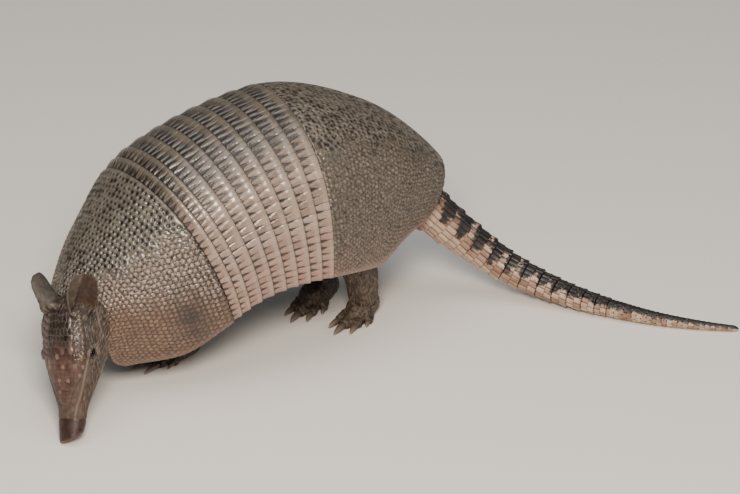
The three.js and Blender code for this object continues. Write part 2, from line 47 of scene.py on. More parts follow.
HEADING, DESCENT, DESCENT_BOW = (12.5, -12), (28.5, -27), 11.5      # degrees
SKIRT_START, SKIRT_TUCK, SIDE_POWER, TOP_POWER = .68, .08, .92, .95
PLATE_THICKNESS, MARGIN_LIFT, PLATE_GAP, INNER_COLUMNS = 2.4, .7, .3, 61
SHOULDER_REAR, STAIN_AT, STAIN_REACH = .28, (.182, .79), (.036, .15)
SCUTE_PITCH, SMALL_SCUTE, ROW_STEP = 5.2, .42, .88       # millimetres, then shares of the pitch
SEAM_DEPTH, DOME_FALL, SMALL_FALL, PIT_DEPTH = .6, 1.25, .3, 1.1            # millimetres
rng = np.random.default_rng(7)


def through(places, values):
    """A smooth curve through the values that never overshoots them."""
    s, v = np.array(places, float), np.array(values, float)
    step = np.diff(s)
    rise = np.diff(v) / step
    slope = np.zeros(len(v))
    slope[0], slope[-1] = rise[0], rise[-1]
    for i in range(1, len(v) - 1):
        if rise[i - 1] * rise[i] > 0:
            before, after = 2 * step[i] + step[i - 1], step[i] + 2 * step[i - 1]
            slope[i] = (before + after) / (before / rise[i - 1] + after / rise[i])

    def at(x):
        x = np.clip(x, s[0], s[-1])
        i = np.clip(np.searchsorted(s, x) - 1, 0, len(step) - 1)
        k, h = (x - s[i]) / step[i], step[i]
        return ((1 + 2 * k) * (1 - k) ** 2 * v[i] + k * (1 - k) ** 2 * h * slope[i]
                + k * k * (3 - 2 * k) * v[i + 1] + k * k * (k - 1) * h * slope[i + 1])
    return at


STATIONS = [0, .15, .35, .6, .82, 1]
half_width_at = through(STATIONS, [30, 57, 75, 77, 60, 29])
ridge_at = through(STATIONS, [39, 57, 79, 78, 54.5, 23])
drop_at = through(STATIONS, [31, 46, 37, 46.5, 53.5, 20.5])


def axes_of(yaw, pitch):
    """Forward, left and up of a body that heads yaw to its left and points pitch down."""
    yaw, pitch = np.radians(yaw), np.radians(pitch)
    level = np.stack([-np.cos(yaw), -np.sin(yaw), 0 * yaw], -1)
    z = np.array([0, 0, 1.])
    down, flat = np.sin(pitch)[..., None], np.cos(pitch)[..., None]
    left = np.stack([np.sin(yaw), -np.cos(yaw), 0 * yaw], -1)
    return level * flat - z * down, left, level * down + z * flat


def body_axes(u):
    pitch = DESCENT[0] + (DESCENT[1] - DESCENT[0]) * u + DESCENT_BOW * 4 * u * (1 - u)
    return axes_of(HEADING[0] + (HEADING[1] - HEADING[0]) * u, pitch)


LINE_STEPS, LINE_U = 24, np.linspace(-.1, 1.1, 1201)
steps = (np.arange(LINE_STEPS) + .5) / LINE_STEPS
LINE = np.array([0, 0, WAIST_HEIGHT]) + np.stack([
    body_axes(WAIST_U + (u - WAIST_U) * steps)[0].sum(0) * (WAIST_U - u) * SHELL_LENGTH / LINE_STEPS
    for u in LINE_U])


def shell_point(u, t):
    """A place on the armour: u from the neck to the tail, t from the right rim to the left."""
    u, t = np.broadcast_arrays(np.asarray(u, float), np.asarray(t, float))
    _, left, up = body_axes(u)
    turn = np.minimum(np.abs(t) / SKIRT_START, 1) * math.pi / 2
    skirt = np.maximum(0, (np.abs(t) - SKIRT_START) / (1 - SKIRT_START))
    arch = np.sin(turn) ** SIDE_POWER - SKIRT_TUCK * skirt ** 2
    rise = ridge_at(u) * np.maximum(0, np.cos(turn)) ** TOP_POWER - drop_at(u) * skirt
    middle = np.stack([np.interp(u, LINE_U, LINE[:, i]) for i in range(3)], -1)
    return middle + left * (np.sign(t) * half_width_at(u) * arch)[..., None] + up * rise[..., None]


def far_from(points, spot):
    return np.linalg.norm(points - spot, axis=-1)


def unit(v):
    return v / np.linalg.norm(v, axis=-1, keepdims=True)


def shell_place(u, t, out):
    """The same place moved straight out of the armour by out."""
    nudge = .004
    along = shell_point(u + nudge, t) - shell_point(u - nudge, t)
    around = shell_point(u, t + nudge) - shell_point(u, t - nudge)
    return shell_point(u, t) + unit(np.cross(around, along)) * np.asarray(out)[..., None]


def smooth(low, high, x):
    """0 below low, 1 above high, and an even rise between them."""
    k = np.clip((x - low) / (high - low), 0, 1)
    return k * k * (3 - 2 * k)


def set_marks(piece, marks):
    """Gives a piece's mesh one number per corner for each mark."""
    for mark, values in marks.items():
        made = piece.data.attributes.new(mark, 'FLOAT', 'POINT')
        made.data.foreach_set('value', np.asarray(values, np.float32))


def new_piece(name, points, faces, marks):
    """A smooth closed mesh in metres from points in millimetres, with its marks."""
    piece = bpy.data.objects.new(name, bpy.data.meshes.new(name))
    bpy.context.scene.collection.objects.link(piece)
    piece.data.from_pydata(((points - FOOTPRINT_MIDDLE) * .001).tolist(), [], faces)
    set_marks(piece, marks)
    work = bmesh.new()
    work.from_mesh(piece.data)
    bmesh.ops.recalc_face_normals(work, faces=work.faces)
    work.to_mesh(piece.data)
    work.free()
    piece.data.shade_smooth()
    return piece


def grid_faces(ids):
    a, b, c, d = ids[:-1, :-1], ids[:-1, 1:], ids[1:, 1:], ids[1:, :-1]
    return np.stack([a, b, c, d], -1).reshape(-1, 4).tolist()


def zipped(a, b):
    """Triangles between two edges that share their ends' places but not their counts."""
    i = j = 0
    made = []
    while i < len(a) - 1 or j < len(b) - 1:
        if j == len(b) - 1 or (i < len(a) - 1 and (i + 1) / (len(a) - 1) <= (j + 1) / (len(b) - 1)):
            made.append((int(a[i]), int(a[i + 1]), int(b[j])))
            i += 1
        else:
            made.append((int(a[i]), int(b[j + 1]), int(b[j])))
            j += 1
    return made


def two_sided(outer_shape, inner_shape):
    """The faces of a closed plate: an outer and an inner grid, and a wall round their edges."""
    ids = np.arange(math.prod(outer_shape)).reshape(outer_shape)
    low = ids.size + np.arange(math.prod(inner_shape)).reshape(inner_shape)
    faces = grid_faces(ids) + grid_faces(low)
    for edge in (np.s_[0], np.s_[-1], np.s_[:, 0], np.s_[:, -1]):
        faces += zipped(ids[edge], low[edge])
    return faces


def plate_piece(name, outer, inner, marks):
    """A closed plate with a fine carved outer face and a plain inner one."""
    points = np.concatenate([outer.reshape(-1, 3), inner.reshape(-1, 3)])
    plain = np.zeros(inner.size // 3)
    filled = {mark: np.concatenate([np.ravel(values), plain]) for mark, values in marks.items()}
    return new_piece(name, points, two_sided(outer.shape[:2], inner.shape[:2]), filled)


def plate_u(front, rear, edge, s, t):
    """Where a plate's own share s of the way back lies on the armour."""
    return front + edge(t) * (1 - s) + (rear - front) * s


def inner_face(front, rear, edge, rows, lift_at):
    s, t = np.linspace(0, 1, rows)[:, None], np.linspace(-1, 1, INNER_COLUMNS)[None]
    return shell_place(plate_u(front, rear, edge, s, t), t, lift_at(s) + 0 * t - PLATE_THICKNESS)


def from_side(u, t):
    """About how far a place is from the nearer side rim, in millimetres."""
    return (1 - np.abs(t)) * half_width_at(u) * 1.6


def nearest(points, centres, radii, seek=7):
    """For each point: its scute, the distance to it and to the next one, as shares of their radii."""
    tree = KDTree(len(centres))
    for i, centre in enumerate(centres):
        tree.insert(centre, i)
    tree.balance()
    found = np.empty((len(points), seek), int)
    for row, point in enumerate(points):
        found[row] = [i for _, i, _ in tree.find_n(point, seek)]
    far = np.linalg.norm(centres[found] - points[:, None], axis=2) / radii[found]
    order = np.argsort(far, axis=1)[:, :2]
    rows = np.arange(len(points))
    return found[rows, order[:, 0]], far[rows, order[:, 0]], far[rows, order[:, 1]]


def girth_places(front, rear, share, edge):
    """Distance round the plate from its right rim, at evenly spaced t, for one row."""
    t = np.linspace(-1, 1, 201)
    ring = shell_point(plate_u(front, rear, edge, share, t), t)
    return t, np.concatenate([[0], np.cumsum(np.linalg.norm(np.diff(ring, axis=0), axis=1))])


def rosettes(front, rear, edge, pitch_at, net_edge, loose):
    """Scute centres in rows that run round the plate: main ones, each with small ones behind it.
    Within net_edge of the ridge the small ones are lost. Loose is how far they stray, in pitches."""
    places, radii = [], []
    share, row = .012, 0
    while share < 1:
        t_list, girth = girth_places(front, rear, share, edge)
        count = max(8, round(girth[-1] / pitch_at(share)))
        pitch = girth[-1] / count
        step = ROW_STEP * pitch / ((rear - front) * SHELL_LENGTH)
        across = (np.arange(count) + .5 + .5 * (row % 2)) * pitch
        for shift, back, size in ((0, 0, 1), (.5, 1 / 3, SMALL_SCUTE), (0, 2 / 3, SMALL_SCUTE)):
            where = across + shift * pitch + rng.normal(0, loose * pitch, count)
            t = np.interp(where, girth, t_list)
            s = share + back * step + rng.normal(0, 1.3 * loose, count) * step
            kept = (where < girth[-1]) & ((size == 1) | (np.abs(t) > net_edge(s) + rng.normal(0, .02, count)))
            places.append(np.stack([s, t], 1)[kept])
            radii.append(np.full(len(places[-1]), size * pitch / SCUTE_PITCH))
        share += step
        row += 1
    s, t = np.concatenate(places).T
    return shell_point(plate_u(front, rear, edge, s, t), t), np.concatenate(radii)


def shield(name, front, rear, edge, pitch_at, net_edge, skirt_edge, relief, loose, rows, columns):
    """One rounded shield, carved with its rosettes down to the floors of its hair pits. It is a
    flat net of pits within net_edge of the ridge, beads below, and worn low past skirt_edge."""
    s, t = np.linspace(0, 1, rows)[:, None], np.linspace(-1, 1, columns)[None]
    u = plate_u(front, rear, edge, s, t)
    centres, radii = rosettes(front, rear, edge, pitch_at, net_edge, loose)
    mine, near, next_near = (found.reshape(u.shape) for found in nearest(
        shell_point(u, t).reshape(-1, 3), centres, radii))
    tone, size = rng.random(len(centres))[mine], radii[mine]
    wobble = .03 * np.sin(23 * s + 5 * t) + .02 * np.sin(61 * s)
    net = 1 - smooth(-.05, .1, np.abs(t) - net_edge(s) + wobble)
    skirt = smooth(-.13, .17, np.abs(t) - skirt_edge(s) + wobble)
    # The pit mark carves the hair pits and also sets where their painted shade goes.
    pit = net * (1 - smooth(1.1, 2.3, near * (.75 + .5 * tone)))
    main = size > .6 * np.median(radii[radii > .6])
    crest = smooth(.5 - .4 * net, 1.4 - .4 * net, next_near - near)
    away = from_side(u, t)
    rim = 1 - smooth(1, 5, away)
    to_edge = np.minimum(np.minimum(s, 1 - s) * (rear - front) * SHELL_LENGTH, away)
    domed = SEAM_DEPTH * (1 - crest) + DOME_FALL * np.minimum(near / 2.4, 1) ** 2 + SMALL_FALL * (1 - main)
    beads = domed * (1 - .45 * skirt) * np.clip(size + .1 * main, .3, 1)
    depth = (beads + (PIT_DEPTH * pit - beads) * net) * (1 - .6 * rim) * relief
    lift = MARGIN_LIFT * smooth(.72, 1, s) + .15 - .8 * (1 - smooth(0, .9, to_edge))
    stain = np.exp(-((u - STAIN_AT[0]) / STAIN_REACH[0]) ** 2 - ((t - STAIN_AT[1]) / STAIN_REACH[1]) ** 2)
    return plate_piece(name, shell_place(u, t, lift - depth),
                       inner_face(front, rear, edge, 9, lambda s: MARGIN_LIFT * smooth(.85, 1, s)),
                       {'crest': crest, 'small': 1. - main, 'tone': tone, 'rim': rim, 'back': net,
                        'skirt': skirt, 'pit': pit, 'stain': stain})


def shoulder_edge(t):
    """The neck opening swells forward at the sides and turns in at its corners."""
    side = np.clip((np.abs(t) - .45) / .55, 0, 1)
    return .008 * side ** 8 - .014 * np.sin(math.pi * side ** 2.2)


half_gap = PLATE_GAP / SHELL_LENGTH / 2
shoulder = shield('shoulder_shield', 0, SHOULDER_REAR - half_gap, shoulder_edge,
                  through([0, .35, 1], [2.9, 4, 4.6]), lambda s: .15 + .22 * s,
                  lambda s: .36 + .42 * s, 1, .07, 132, 440)


def linear(code):
    """An sRGB hex colour as linear values."""
    parts = [int(code[i:i + 2], 16) / 255 for i in (1, 3, 5)]
    return [c / 12.92 if c <= .04045 else ((c + .055) / 1.055) ** 2.4 for c in parts] + [1]


def node(tree, kind, settings=None, out=0, **inputs):
    """Adds a node, sets its properties, and sets or links its inputs. Returns one output."""
    made = tree.nodes.new(kind)
    for key, value in (settings or {}).items():
        setattr(made, key, value)
    for key, value in inputs.items():
        socket = made.inputs[int(key[1:]) if key[1:].isdigit() else key.replace('_', ' ')]
        if isinstance(value, bpy.types.NodeSocket):
            tree.links.new(value, socket)
        else:
            socket.default_value = linear(value) if isinstance(value, str) else value
    return made.outputs[out]


MIX, TIMES = ('ShaderNodeMix', {'data_type': 'RGBA'}, 2), ('ShaderNodeMath', {'operation': 'MULTIPLY'})
PLUS = ('ShaderNodeMath', {'operation': 'ADD'})
MINUS = ('ShaderNodeMath', {'operation': 'SUBTRACT', 'use_clamp': True})
NOISE, RANGE, MARK, BUMP = 'ShaderNodeTexNoise', 'ShaderNodeMapRange', 'ShaderNodeAttribute', 'ShaderNodeBump'


def blank(name):
    """A new material, its nodes and its shader."""
    material = bpy.data.materials.new(name)
    material.use_nodes = True
    return material, material.node_tree, material.node_tree.nodes['Principled BSDF']


def grown(name, marks, patches, flecks, detail=3, harsh=.7):
    """Starts the material of a grown surface: its own marks, its patches and flecks at the given
    scales, and a tone that varies with the patch and from scale to scale."""
    material, tree, _ = blank(name)
    mark = {key: node(tree, MARK, {'attribute_name': key}, 'Fac') for key in marks.split()}
    mark['place'] = node(tree, 'ShaderNodeTexCoord', out='Object')
    cloud = node(tree, NOISE, Vector=mark['place'], Scale=patches, Detail=4, Roughness=.6)
    fleck = node(tree, NOISE, Vector=mark['place'], Scale=flecks, Detail=detail, Roughness=harsh)
    varied = node(tree, RANGE, Value=node(tree, *PLUS, _0=mark['tone'], _1=cloud), From_Min=.5, From_Max=1.5)
    return material, tree, mark, cloud, fleck, varied


def laid(tree, colour, *coats):
    """Lays coats over a colour, each where its mark says and with its strength."""
    for mark, strength, coat in coats:
        share = mark if strength == 1 else node(tree, *TIMES, _0=mark, _1=strength)
        colour = node(tree, *MIX, _0=share, _6=colour, _7=coat)
    return colour


def weathered(material, colour, fleck, dust, roughness, grain, ior=1.54, coat=None, folds=None):
    """Ends a material: dust in flecks over its colour, its roughness, and a grain in relief."""
    tree, shader = material.node_tree, material.node_tree.nodes['Principled BSDF']
    dusty = node(tree, RANGE, Value=fleck, From_Min=.3, From_Max=.7, To_Min=dust[0], To_Max=dust[1])
    bump = node(tree, BUMP, Strength=grain[0], Distance=grain[1], Height=fleck)
    if folds:
        bump = node(tree, BUMP, Strength=.8, Distance=.0006, Height=folds, Normal=bump)
    for socket, value in (('Base Color', node(tree, 'ShaderNodeHueSaturation', Color=colour, Value=dusty)),
                          ('Roughness', roughness), ('Normal', bump)):
        tree.links.new(value, shader.inputs[socket])
    shader.inputs['IOR'].default_value = ior
    if coat:
        shader.inputs['Coat Weight'].default_value, shader.inputs['Coat Roughness'].default_value = coat
    return material


def polish(tree, crest, cloud, rough):
    """Roughness of worn horn: rubbed smooth on the crests, in patches."""
    worn = node(tree, *TIMES, _0=crest, _1=node(tree, RANGE, Value=cloud, From_Min=.3, From_Max=.6))
    return node(tree, RANGE, Value=worn, To_Min=rough[1], To_Max=rough[0])


def horn_armour(name, flank, back, skirt, floors, border, rough, specks=0.):
    """Keratin horn over bone, grown in place and polished by burrowing. It gives pale glossy
    beads where it is rubbed, a grey net on the back, dark floors between the beads, and
    near-black hair pits whose darkness is painted shade.
    Each tone is a pair of colours, and floors and specks say what lies between the beads."""
    # Patches 14 mm across, flecks 1 mm, and spots of dirt 2 mm
    material, tree, mark, cloud, fleck, varied = grown(
        name, 'crest small tone rim back skirt pit stain', 70, 900)
    tops = [laid(tree, tones[0], (varied, 1, tones[1])) for tones in (flank, skirt, back)]
    top = laid(tree, tops[0], (mark['skirt'], 1, tops[1]), (mark['back'], 1, tops[2]))
    floor = laid(tree, floors[0], (mark['skirt'], 1, floors[1]), (mark['back'], 1, floors[2]))
    raised = node(tree, *MINUS, _0=mark['crest'], _1=node(tree, *TIMES, _0=mark['small'], _1=.35))
    spots = node(tree, NOISE, Vector=mark['place'], Scale=420, Detail=2, Roughness=.5)
    spots = node(tree, RANGE, Value=spots, From_Min=.47, From_Max=.36, To_Max=specks)
    soak = node(tree, RANGE, Value=cloud, From_Min=.2, From_Max=.45, To_Max=.9)
    # The near-black in the hair pits is painted shade.
    colour = laid(tree, floor, (raised, 1, top), (spots, 1, '#241e18'), (mark['pit'], 1, '#0e0c09'),
                  (mark['rim'], .7, border), (mark['stain'], soak, '#22130b'))
    return weathered(material, colour, fleck, (.84, 1.1), polish(tree, mark['crest'], cloud, rough),
                     (.3, .0002), coat=(.45, .2))


def fitted(piece, material, slot, *nodes):
    """Dresses a piece, fixes it to the body and lets it stand for its solids."""
    piece.data.materials.append(material)
    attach(piece, 'root')
    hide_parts(*nodes)


shoulder_horn = horn_armour('keratin_horn_polished_by_wear', ('#98877a', '#7d6a5b'), ('#554e44', '#736c60'),
                            ('#83644c', '#654a38'), ('#1f1712', '#35241a', '#4d453b'), '#6e5648', (.26, .5))
fitted(shoulder, shoulder_horn, 'shell', 'scapular_shield')

# ---- The nine bands ----
# Each band is one hoop of bony scutes that slides under the band before it. Its horn is in
# wedges: pale ones with their base at the rear edge, and darker ones that point back
# between them. Skin joins each hoop to the next, out of sight under the overlap.
BAND_EDGES = [.28, .308, .338, .378, .418, .459, .499, .54, .58, .62]
BAND_SCUTES, STEPS_PER_SCUTE, BAND_ROWS = 56, 11, 26
WEDGE_DEPTH, BOW_DEPTH, SPLIT_DEPTH, LIP_SWELL = .85, .42, .1, .22          # millimetres


def straight(t):
    return 0 * t


def band(name, front, rear):
    """One hoop: wedges that widen to the rear, raised along their middles."""
    s = np.linspace(0, 1, BAND_ROWS)[:, None]
    t_list, girth = girth_places(front, rear, .5, straight)
    where = np.linspace(0, girth[-1], BAND_SCUTES * STEPS_PER_SCUTE + 1)[None]
    t = np.interp(where, girth, t_list)
    shift = rng.normal(0, .05, BAND_SCUTES + 2)
    at = where / girth[-1] * BAND_SCUTES
    which = np.clip(np.floor(at), 0, BAND_SCUTES - 1).astype(int)
    u = front + (rear - front) * s + 0 * t
    phase = np.abs(at - which - .5 + .06 * np.sin(s * 2.4 + which * 1.7))
    back = 1 - smooth(.14, .48, np.abs(t) + 0 * u)
    narrow = .31 - .1 * back + shift[which]
    half = narrow + (.54 - narrow) * smooth(-.05, .88 + shift[which], s)
    pale = smooth(-.03, .04, half - phase)
    split = 1 - smooth(.0, .07, .5 - phase)
    away = from_side(u, t)
    rim = 1 - smooth(1, 4.5, away)
    to_edge = np.minimum((1 - s) * (rear - front) * SHELL_LENGTH, away)
    lip = smooth(.5, .74, s + 0 * t)
    bowed = np.clip(phase / np.maximum(half, .1), 0, 1) ** 2
    depth = WEDGE_DEPTH * (1 - pale) + (BOW_DEPTH - .25 * lip) * bowed * pale + SPLIT_DEPTH * split * lip
    swell = LIP_SWELL * np.sin(math.pi * smooth(.5, 1, s))
    lift = MARGIN_LIFT * (2 * s - 1) + swell - .9 * (1 - smooth(0, 1.1, to_edge))
    # The front mark is the strip along the hoop's front edge that gets painted shadow from the hoop before it.
    return plate_piece(name, shell_place(u, t, lift - depth * (1 - .5 * rim)),
                       inner_face(front, rear, straight, 5, lambda s: .5 * MARGIN_LIFT * (2 * s - 1)),
                       {'crest': pale, 'tone': rng.random(BAND_SCUTES)[which] + 0 * u, 'rim': rim, 'back': back,
                        'lip': lip, 'low': smooth(.5, .95, np.abs(t) + 0 * u), 'girth': at + 0 * u,
                        'front': 1 - smooth(0, .1, s + 0 * t), 'length': s + 0 * t})


def hoop_horn():
    """Keratin horn on bony hoops, grown in wedges. The wedges that point back stay dark and
    sunk, the back is streaked along the body, and the rubbed rear edges shine. Along each
    hoop's front edge runs a dark strip of painted shadow from the hoop before it, with some dirt."""
    # Patches 16 mm across, flecks 1 mm
    material, tree, mark, cloud, fleck, varied = grown(
        'keratin_horn_grown_in_wedges', 'crest tone rim back lip low front girth length', 60, 1000)
    high, lip, dark = mark['back'], mark['lip'], '#171310'
    pale = laid(tree, laid(tree, '#a08a7b', (varied, 1, '#806a5a')),
                (high, 1, laid(tree, '#4f473d', (varied, 1, '#6e6457'))), (mark['low'], .6, '#a27a66'))
    # Streaks a quarter of a scute wide and most of a band long, strong on the back
    along = node(tree, 'ShaderNodeCombineXYZ', X=node(tree, *TIMES, _0=mark['girth'], _1=4.),
                 Y=mark['length'], Z=mark['tone'])
    streak = node(tree, RANGE, Value=node(tree, NOISE, Vector=along, Scale=1.3, Detail=3, Roughness=.6),
                  From_Min=.44, From_Max=.58)
    for fade in (node(tree, RANGE, Value=high, To_Min=.12, To_Max=.9),
                 node(tree, RANGE, Value=lip, To_Min=1, To_Max=.25)):
        streak = node(tree, *TIMES, _0=streak, _1=fade)
    worn_lip = node(tree, RANGE, Value=cloud, From_Min=.3, From_Max=.6, To_Max=.6)
    # The front strip is painted shadow under the hoop before, with some dirt.
    colour = laid(tree, laid(tree, '#20150f', (high, 1, dark)), (mark['crest'], 1, pale), (streak, 1, dark),
                  (lip, worn_lip, laid(tree, '#a6968a', (high, 1, '#665e52'))),
                  (mark['front'], .7, '#17110d'), (mark['rim'], .75, '#7a6052'))
    return weathered(material, colour, fleck, (.84, 1.1), polish(tree, mark['crest'], cloud, (.25, .46)),
                     (.3, .0002), coat=(.6, .22))


band_horn = hoop_horn()
for number, (front, rear) in enumerate(zip(BAND_EDGES, BAND_EDGES[1:]), 1):
    hoop = band(f'shell_band_{number}', front + half_gap, rear - half_gap)
    fitted(hoop, band_horn, 'shell', f'band_{number}')

# ---- Pelvic shield ----
# The rear dome, grown like the shoulder one but longer: rosettes in rows that follow the
# last band, with deep hair pits near the ridge. Its rear edge frames the root of the tail.
pelvis = shield('pelvic_shield_horn', BAND_EDGES[-1] + half_gap, 1, straight,
                through([0, .1, .5, 1], [4.4, 3.9, 3.6, 3.2]), lambda s: .36 - .1 * s, lambda s: .86 + 0 * s,
                .8, .12, 170, 440)
pelvis_horn = horn_armour('keratin_horn_weathered', ('#756a5b', '#5d5347'), ('#655c50', '#7b7163'),
                          ('#866c5c', '#6c5547'), ('#453c32', '#4f3c30', '#4d453a'), '#87695a', (.34, .58), .8)
fitted(pelvis, pelvis_horn, 'shell', 'pelvic_shield')

# ---- Head shield ----
# A leaf-shaped plate of bony scutes on the forehead, from between the ears down to the middle
# of the muzzle. Long dark scutes with pale seams lie between double rows of shiny beads,
# and the horn turns red-brown and smooth toward the snout.
NOSE = np.array([-220, -81, 4])
NOSE_PAD_LENGTH, SLANT_TO_CROWN, SLANT_TO_LEFT = 13, .45, -.32     # the nose ends on a slant
HEAD_YAW, HEAD_PITCH, HEAD_ROLL = 56., 58., math.radians(28)       # the first two in degrees
HEAD_STATIONS = [0, 8, 20, 33, 47, 59, 76, 89, 98, 104]
head_width_at = through(HEAD_STATIONS, [9.2, 10.4, 11, 15, 19.7, 23, 24.6, 23, 18.5, 8])
crown_at = through(HEAD_STATIONS, [6.8, 7.9, 9, 12.4, 16.4, 19, 21, 20, 15.5, 7])
throat_at = through(HEAD_STATIONS, [6.6, 8.2, 10, 13.6, 18.2, 22, 25, 24, 18, 8])
ahead, level_left, level_up = axes_of(np.array(HEAD_YAW), np.array(HEAD_PITCH))
HEAD_BACK = -ahead
HEAD_CROWN = level_up * math.cos(HEAD_ROLL) - level_left * math.sin(HEAD_ROLL)
HEAD_LEFT = level_left * math.cos(HEAD_ROLL) + level_up * math.sin(HEAD_ROLL)
SHIELD_FRONT, SHIELD_LENGTH, SHIELD_TOP, SHIELD_UNDER = 19, 72, 1.95, .2
BEAD_ROWS, LONG_SCUTE, BEAD_STEP, SCUTE_WIDTH = (-.86, -.6, .6, .86), 2.6, 2.5, 3
spread_at = through([0, .45, 1], np.radians([12, 52, 40]))
packed_at = through([19, 45, 62, 92], [0, 24, 36, 52])
unpacked_at = through([0, 24, 36, 52], [19, 45, 62, 92])


def nose_slant(along, across, rise):
    return (SLANT_TO_CROWN * rise + SLANT_TO_LEFT * across) * np.maximum(0, 1 - along / NOSE_PAD_LENGTH)


def head_place(along, angle, out=0):
    """A place on the head: along from the nose, and angle from the crown toward its left."""
    along, angle, out = np.broadcast_arrays(np.asarray(along, float), angle, out)
    height = np.where(np.cos(angle) > 0, crown_at(along), throat_at(along))
    across, rise = (head_width_at(along) + out) * np.sin(angle), (height + out) * np.cos(angle)
    return (NOSE + HEAD_BACK * (along - nose_slant(along, across, rise))[..., None]
            + HEAD_LEFT * across[..., None] + HEAD_CROWN * rise[..., None])


def head_shield():
    s, w = np.linspace(0, 1, 150)[:, None], np.linspace(-1, 1, 110)[None]
    along = SHIELD_FRONT + SHIELD_LENGTH * s + 0 * w
    # Scutes are laid out on a flat map: half turns of the head one way, and along it a
    # length that is shortened toward the rear, where they grow long
    places = []
    for step, beaded in ((LONG_SCUTE, False), (BEAD_STEP, True)):
        for row, line in enumerate(np.arange(1.5, packed_at(SHIELD_FRONT + SHIELD_LENGTH) + 1, step)):
            back = float(unpacked_at(line))
            reach = spread_at((back - SHIELD_FRONT) / SHIELD_LENGTH) * head_width_at(back)
            count = max(2, round(2 * reach / SCUTE_WIDTH))
            shares = BEAD_ROWS if beaded else (np.arange(count) + .5 + .45 * (row % 2)) / count * 2 - 1
            for k, share in enumerate(shares):
                # The rear sides carry only beads, and beads lie nowhere else
                if abs(share) < 1.05 and beaded == (abs(share) > .48 and back > 57):
                    places.append((line + beaded * (k % 3 > 0) * step / 2 + rng.normal(0, .3 - .15 * beaded),
                                   share * reach + rng.normal(0, .4 - .2 * beaded), 0))
    places = np.array(places)
    reach = spread_at(s) * head_width_at(along)
    flat = np.stack([packed_at(along), w * reach, 0 * along], -1)
    muzzle = 1 - smooth(.46, .74, s + .05 * np.sin(9 * w))
    beads = smooth(.42, .56, np.abs(w)) * smooth(.46, .58, s)
    mine, near, next_near = (found.reshape(along.shape) for found in nearest(
        flat.reshape(-1, 3), places, np.ones(len(places)), 6))
    to_rim = np.minimum((1 - np.abs(w)) * reach, np.minimum(s, 1 - s) * SHIELD_LENGTH)
    seam = 1 - smooth(0, .34 + .4 * beads, next_near - near)
    far = np.hypot(along - unpacked_at(places[mine, 0]), w * reach - places[mine, 1])
    dome = (np.where(beads > 0, far, near) / 2) ** 2
    top = SHIELD_TOP - .25 * seam * (1 - .5 * muzzle) * (1 - beads) - (.14 + .6 * beads) * np.minimum(dome, 1.2)
    top = top - .5 - (SHIELD_TOP - .75) * (1 - smooth(-.5, 2.4, to_rim)) + .35 * beads
    low_s, low_w = np.linspace(0, 1, 13)[:, None], np.linspace(-1, 1, 11)[None]
    return plate_piece('forehead_shield', head_place(along, w * spread_at(s), top),
                       head_place(SHIELD_FRONT + SHIELD_LENGTH * low_s, low_w * spread_at(low_s), SHIELD_UNDER),
                       {'crest': 1 - seam, 'tone': rng.random(len(places))[mine], 'muzzle': muzzle,
                        'to_rim': smooth(0, 1.2, to_rim), 'beads': beads})


def head_horn():
    """Smooth head horn, grown in flat plates and rubbed by digging. It gives dark, satin
    plates with a hard shine on their shoulders, and red-brown bare horn on the muzzle, where
    pale spots on a few scutes are painted highlights."""
    # Patches 7 mm across, pores .7 mm
    material, tree, mark, cloud, fleck, varied = grown(
        'keratin_horn_rubbed_smooth', 'crest tone muzzle to_rim beads', 140, 1400, 2, .6)
    muzzle, beads = mark['muzzle'], mark['beads']
    ruddy = laid(tree, '#3b2821', (varied, 1, '#5c4338'))
    # These pale spots on a few muzzle scutes are painted highlights, not wear.
    rubbed = node(tree, RANGE, Value=mark['tone'], From_Min=.86, From_Max=.94, To_Max=.6)
    plate = laid(tree, laid(tree, '#15110e', (varied, 1, '#332923')), (beads, 1, '#584b44'), (muzzle, 1, ruddy),
                 (rubbed, muzzle, '#80665a'))
    seam = laid(tree, '#5c534a', (muzzle, 1, '#2a1d18'), (beads, 1, '#17110e'))
    colour = laid(tree, seam, (mark['crest'], 1, plate))
    outward = node(tree, *MINUS, _0=1., _1=mark['to_rim'])
    satin = node(tree, RANGE, Value=cloud, From_Min=.3, From_Max=.7, To_Min=.24, To_Max=.44)
    return weathered(material, laid(tree, colour, (outward, .7, '#2f2621')), fleck, (.85, 1.12), satin,
                     (.25, .0002))


fitted(head_shield(), head_horn(), 'head_plate', 'head_shield')

# ---- Tail ----
# Twelve rings of bone, each with two rows of horn scales, that fit into one another like
# cups, then a slender tip in small overlapping scales. Black above, cream at the sides.
TAIL_LINE = np.array([[104, -9, 97], [127, -18, 70], [149, -29.5, 47.5], [172, -47.5, 26.5], [194, -73, 14],
                      [213, -103, 8.8], [242, -142, 5.2], [268, -168, 3.3], [292.5, -187, 1.7]], float)
tail_radius_at = through(np.linspace(0, 1, 9), [20, 16.5, 14, 12, 9.6, 7.6, 5.6, 3.9, 2.2])
TAIL_RINGS, TAIL_START, RINGS_END, FIRST_RING_SHARE, RING_FLARE = 12, .055, .66, 1.35, .05
RING_SCALE_WIDTH, TIP_SCALE_ROWS, TIP_SCALES_ROUND, TAIL_STEPS = 4.7, 26, 9, 2001


def smooth_line(knots, at):
    """Places on a smooth line through the knots, at from 0 to 1 by knots."""
    knots = np.concatenate([[2 * knots[0] - knots[1]], knots, [2 * knots[-1] - knots[-2]]])
    at = np.atleast_1d(at) * (len(knots) - 3)
    i = np.minimum(np.floor(at).astype(int), len(knots) - 4)
    k = (at - i)[:, None]
    p0, p1, p2, p3 = (knots[i + n] for n in range(4))
    d0, d1, d2 = (np.linalg.norm(b - a, axis=1)[:, None] ** .5 for a, b in ((p0, p1), (p1, p2), (p2, p3)))
    m1 = ((p1 - p0) / d0 - (p2 - p0) / (d0 + d1) + (p2 - p1) / d1) * d1
    m2 = ((p2 - p1) / d1 - (p3 - p1) / (d1 + d2) + (p3 - p2) / d2) * d1
    return p1 + m1 * k + (3 * (p2 - p1) - 2 * m1 - m2) * k ** 2 + (2 * (p1 - p2) + m1 + m2) * k ** 3


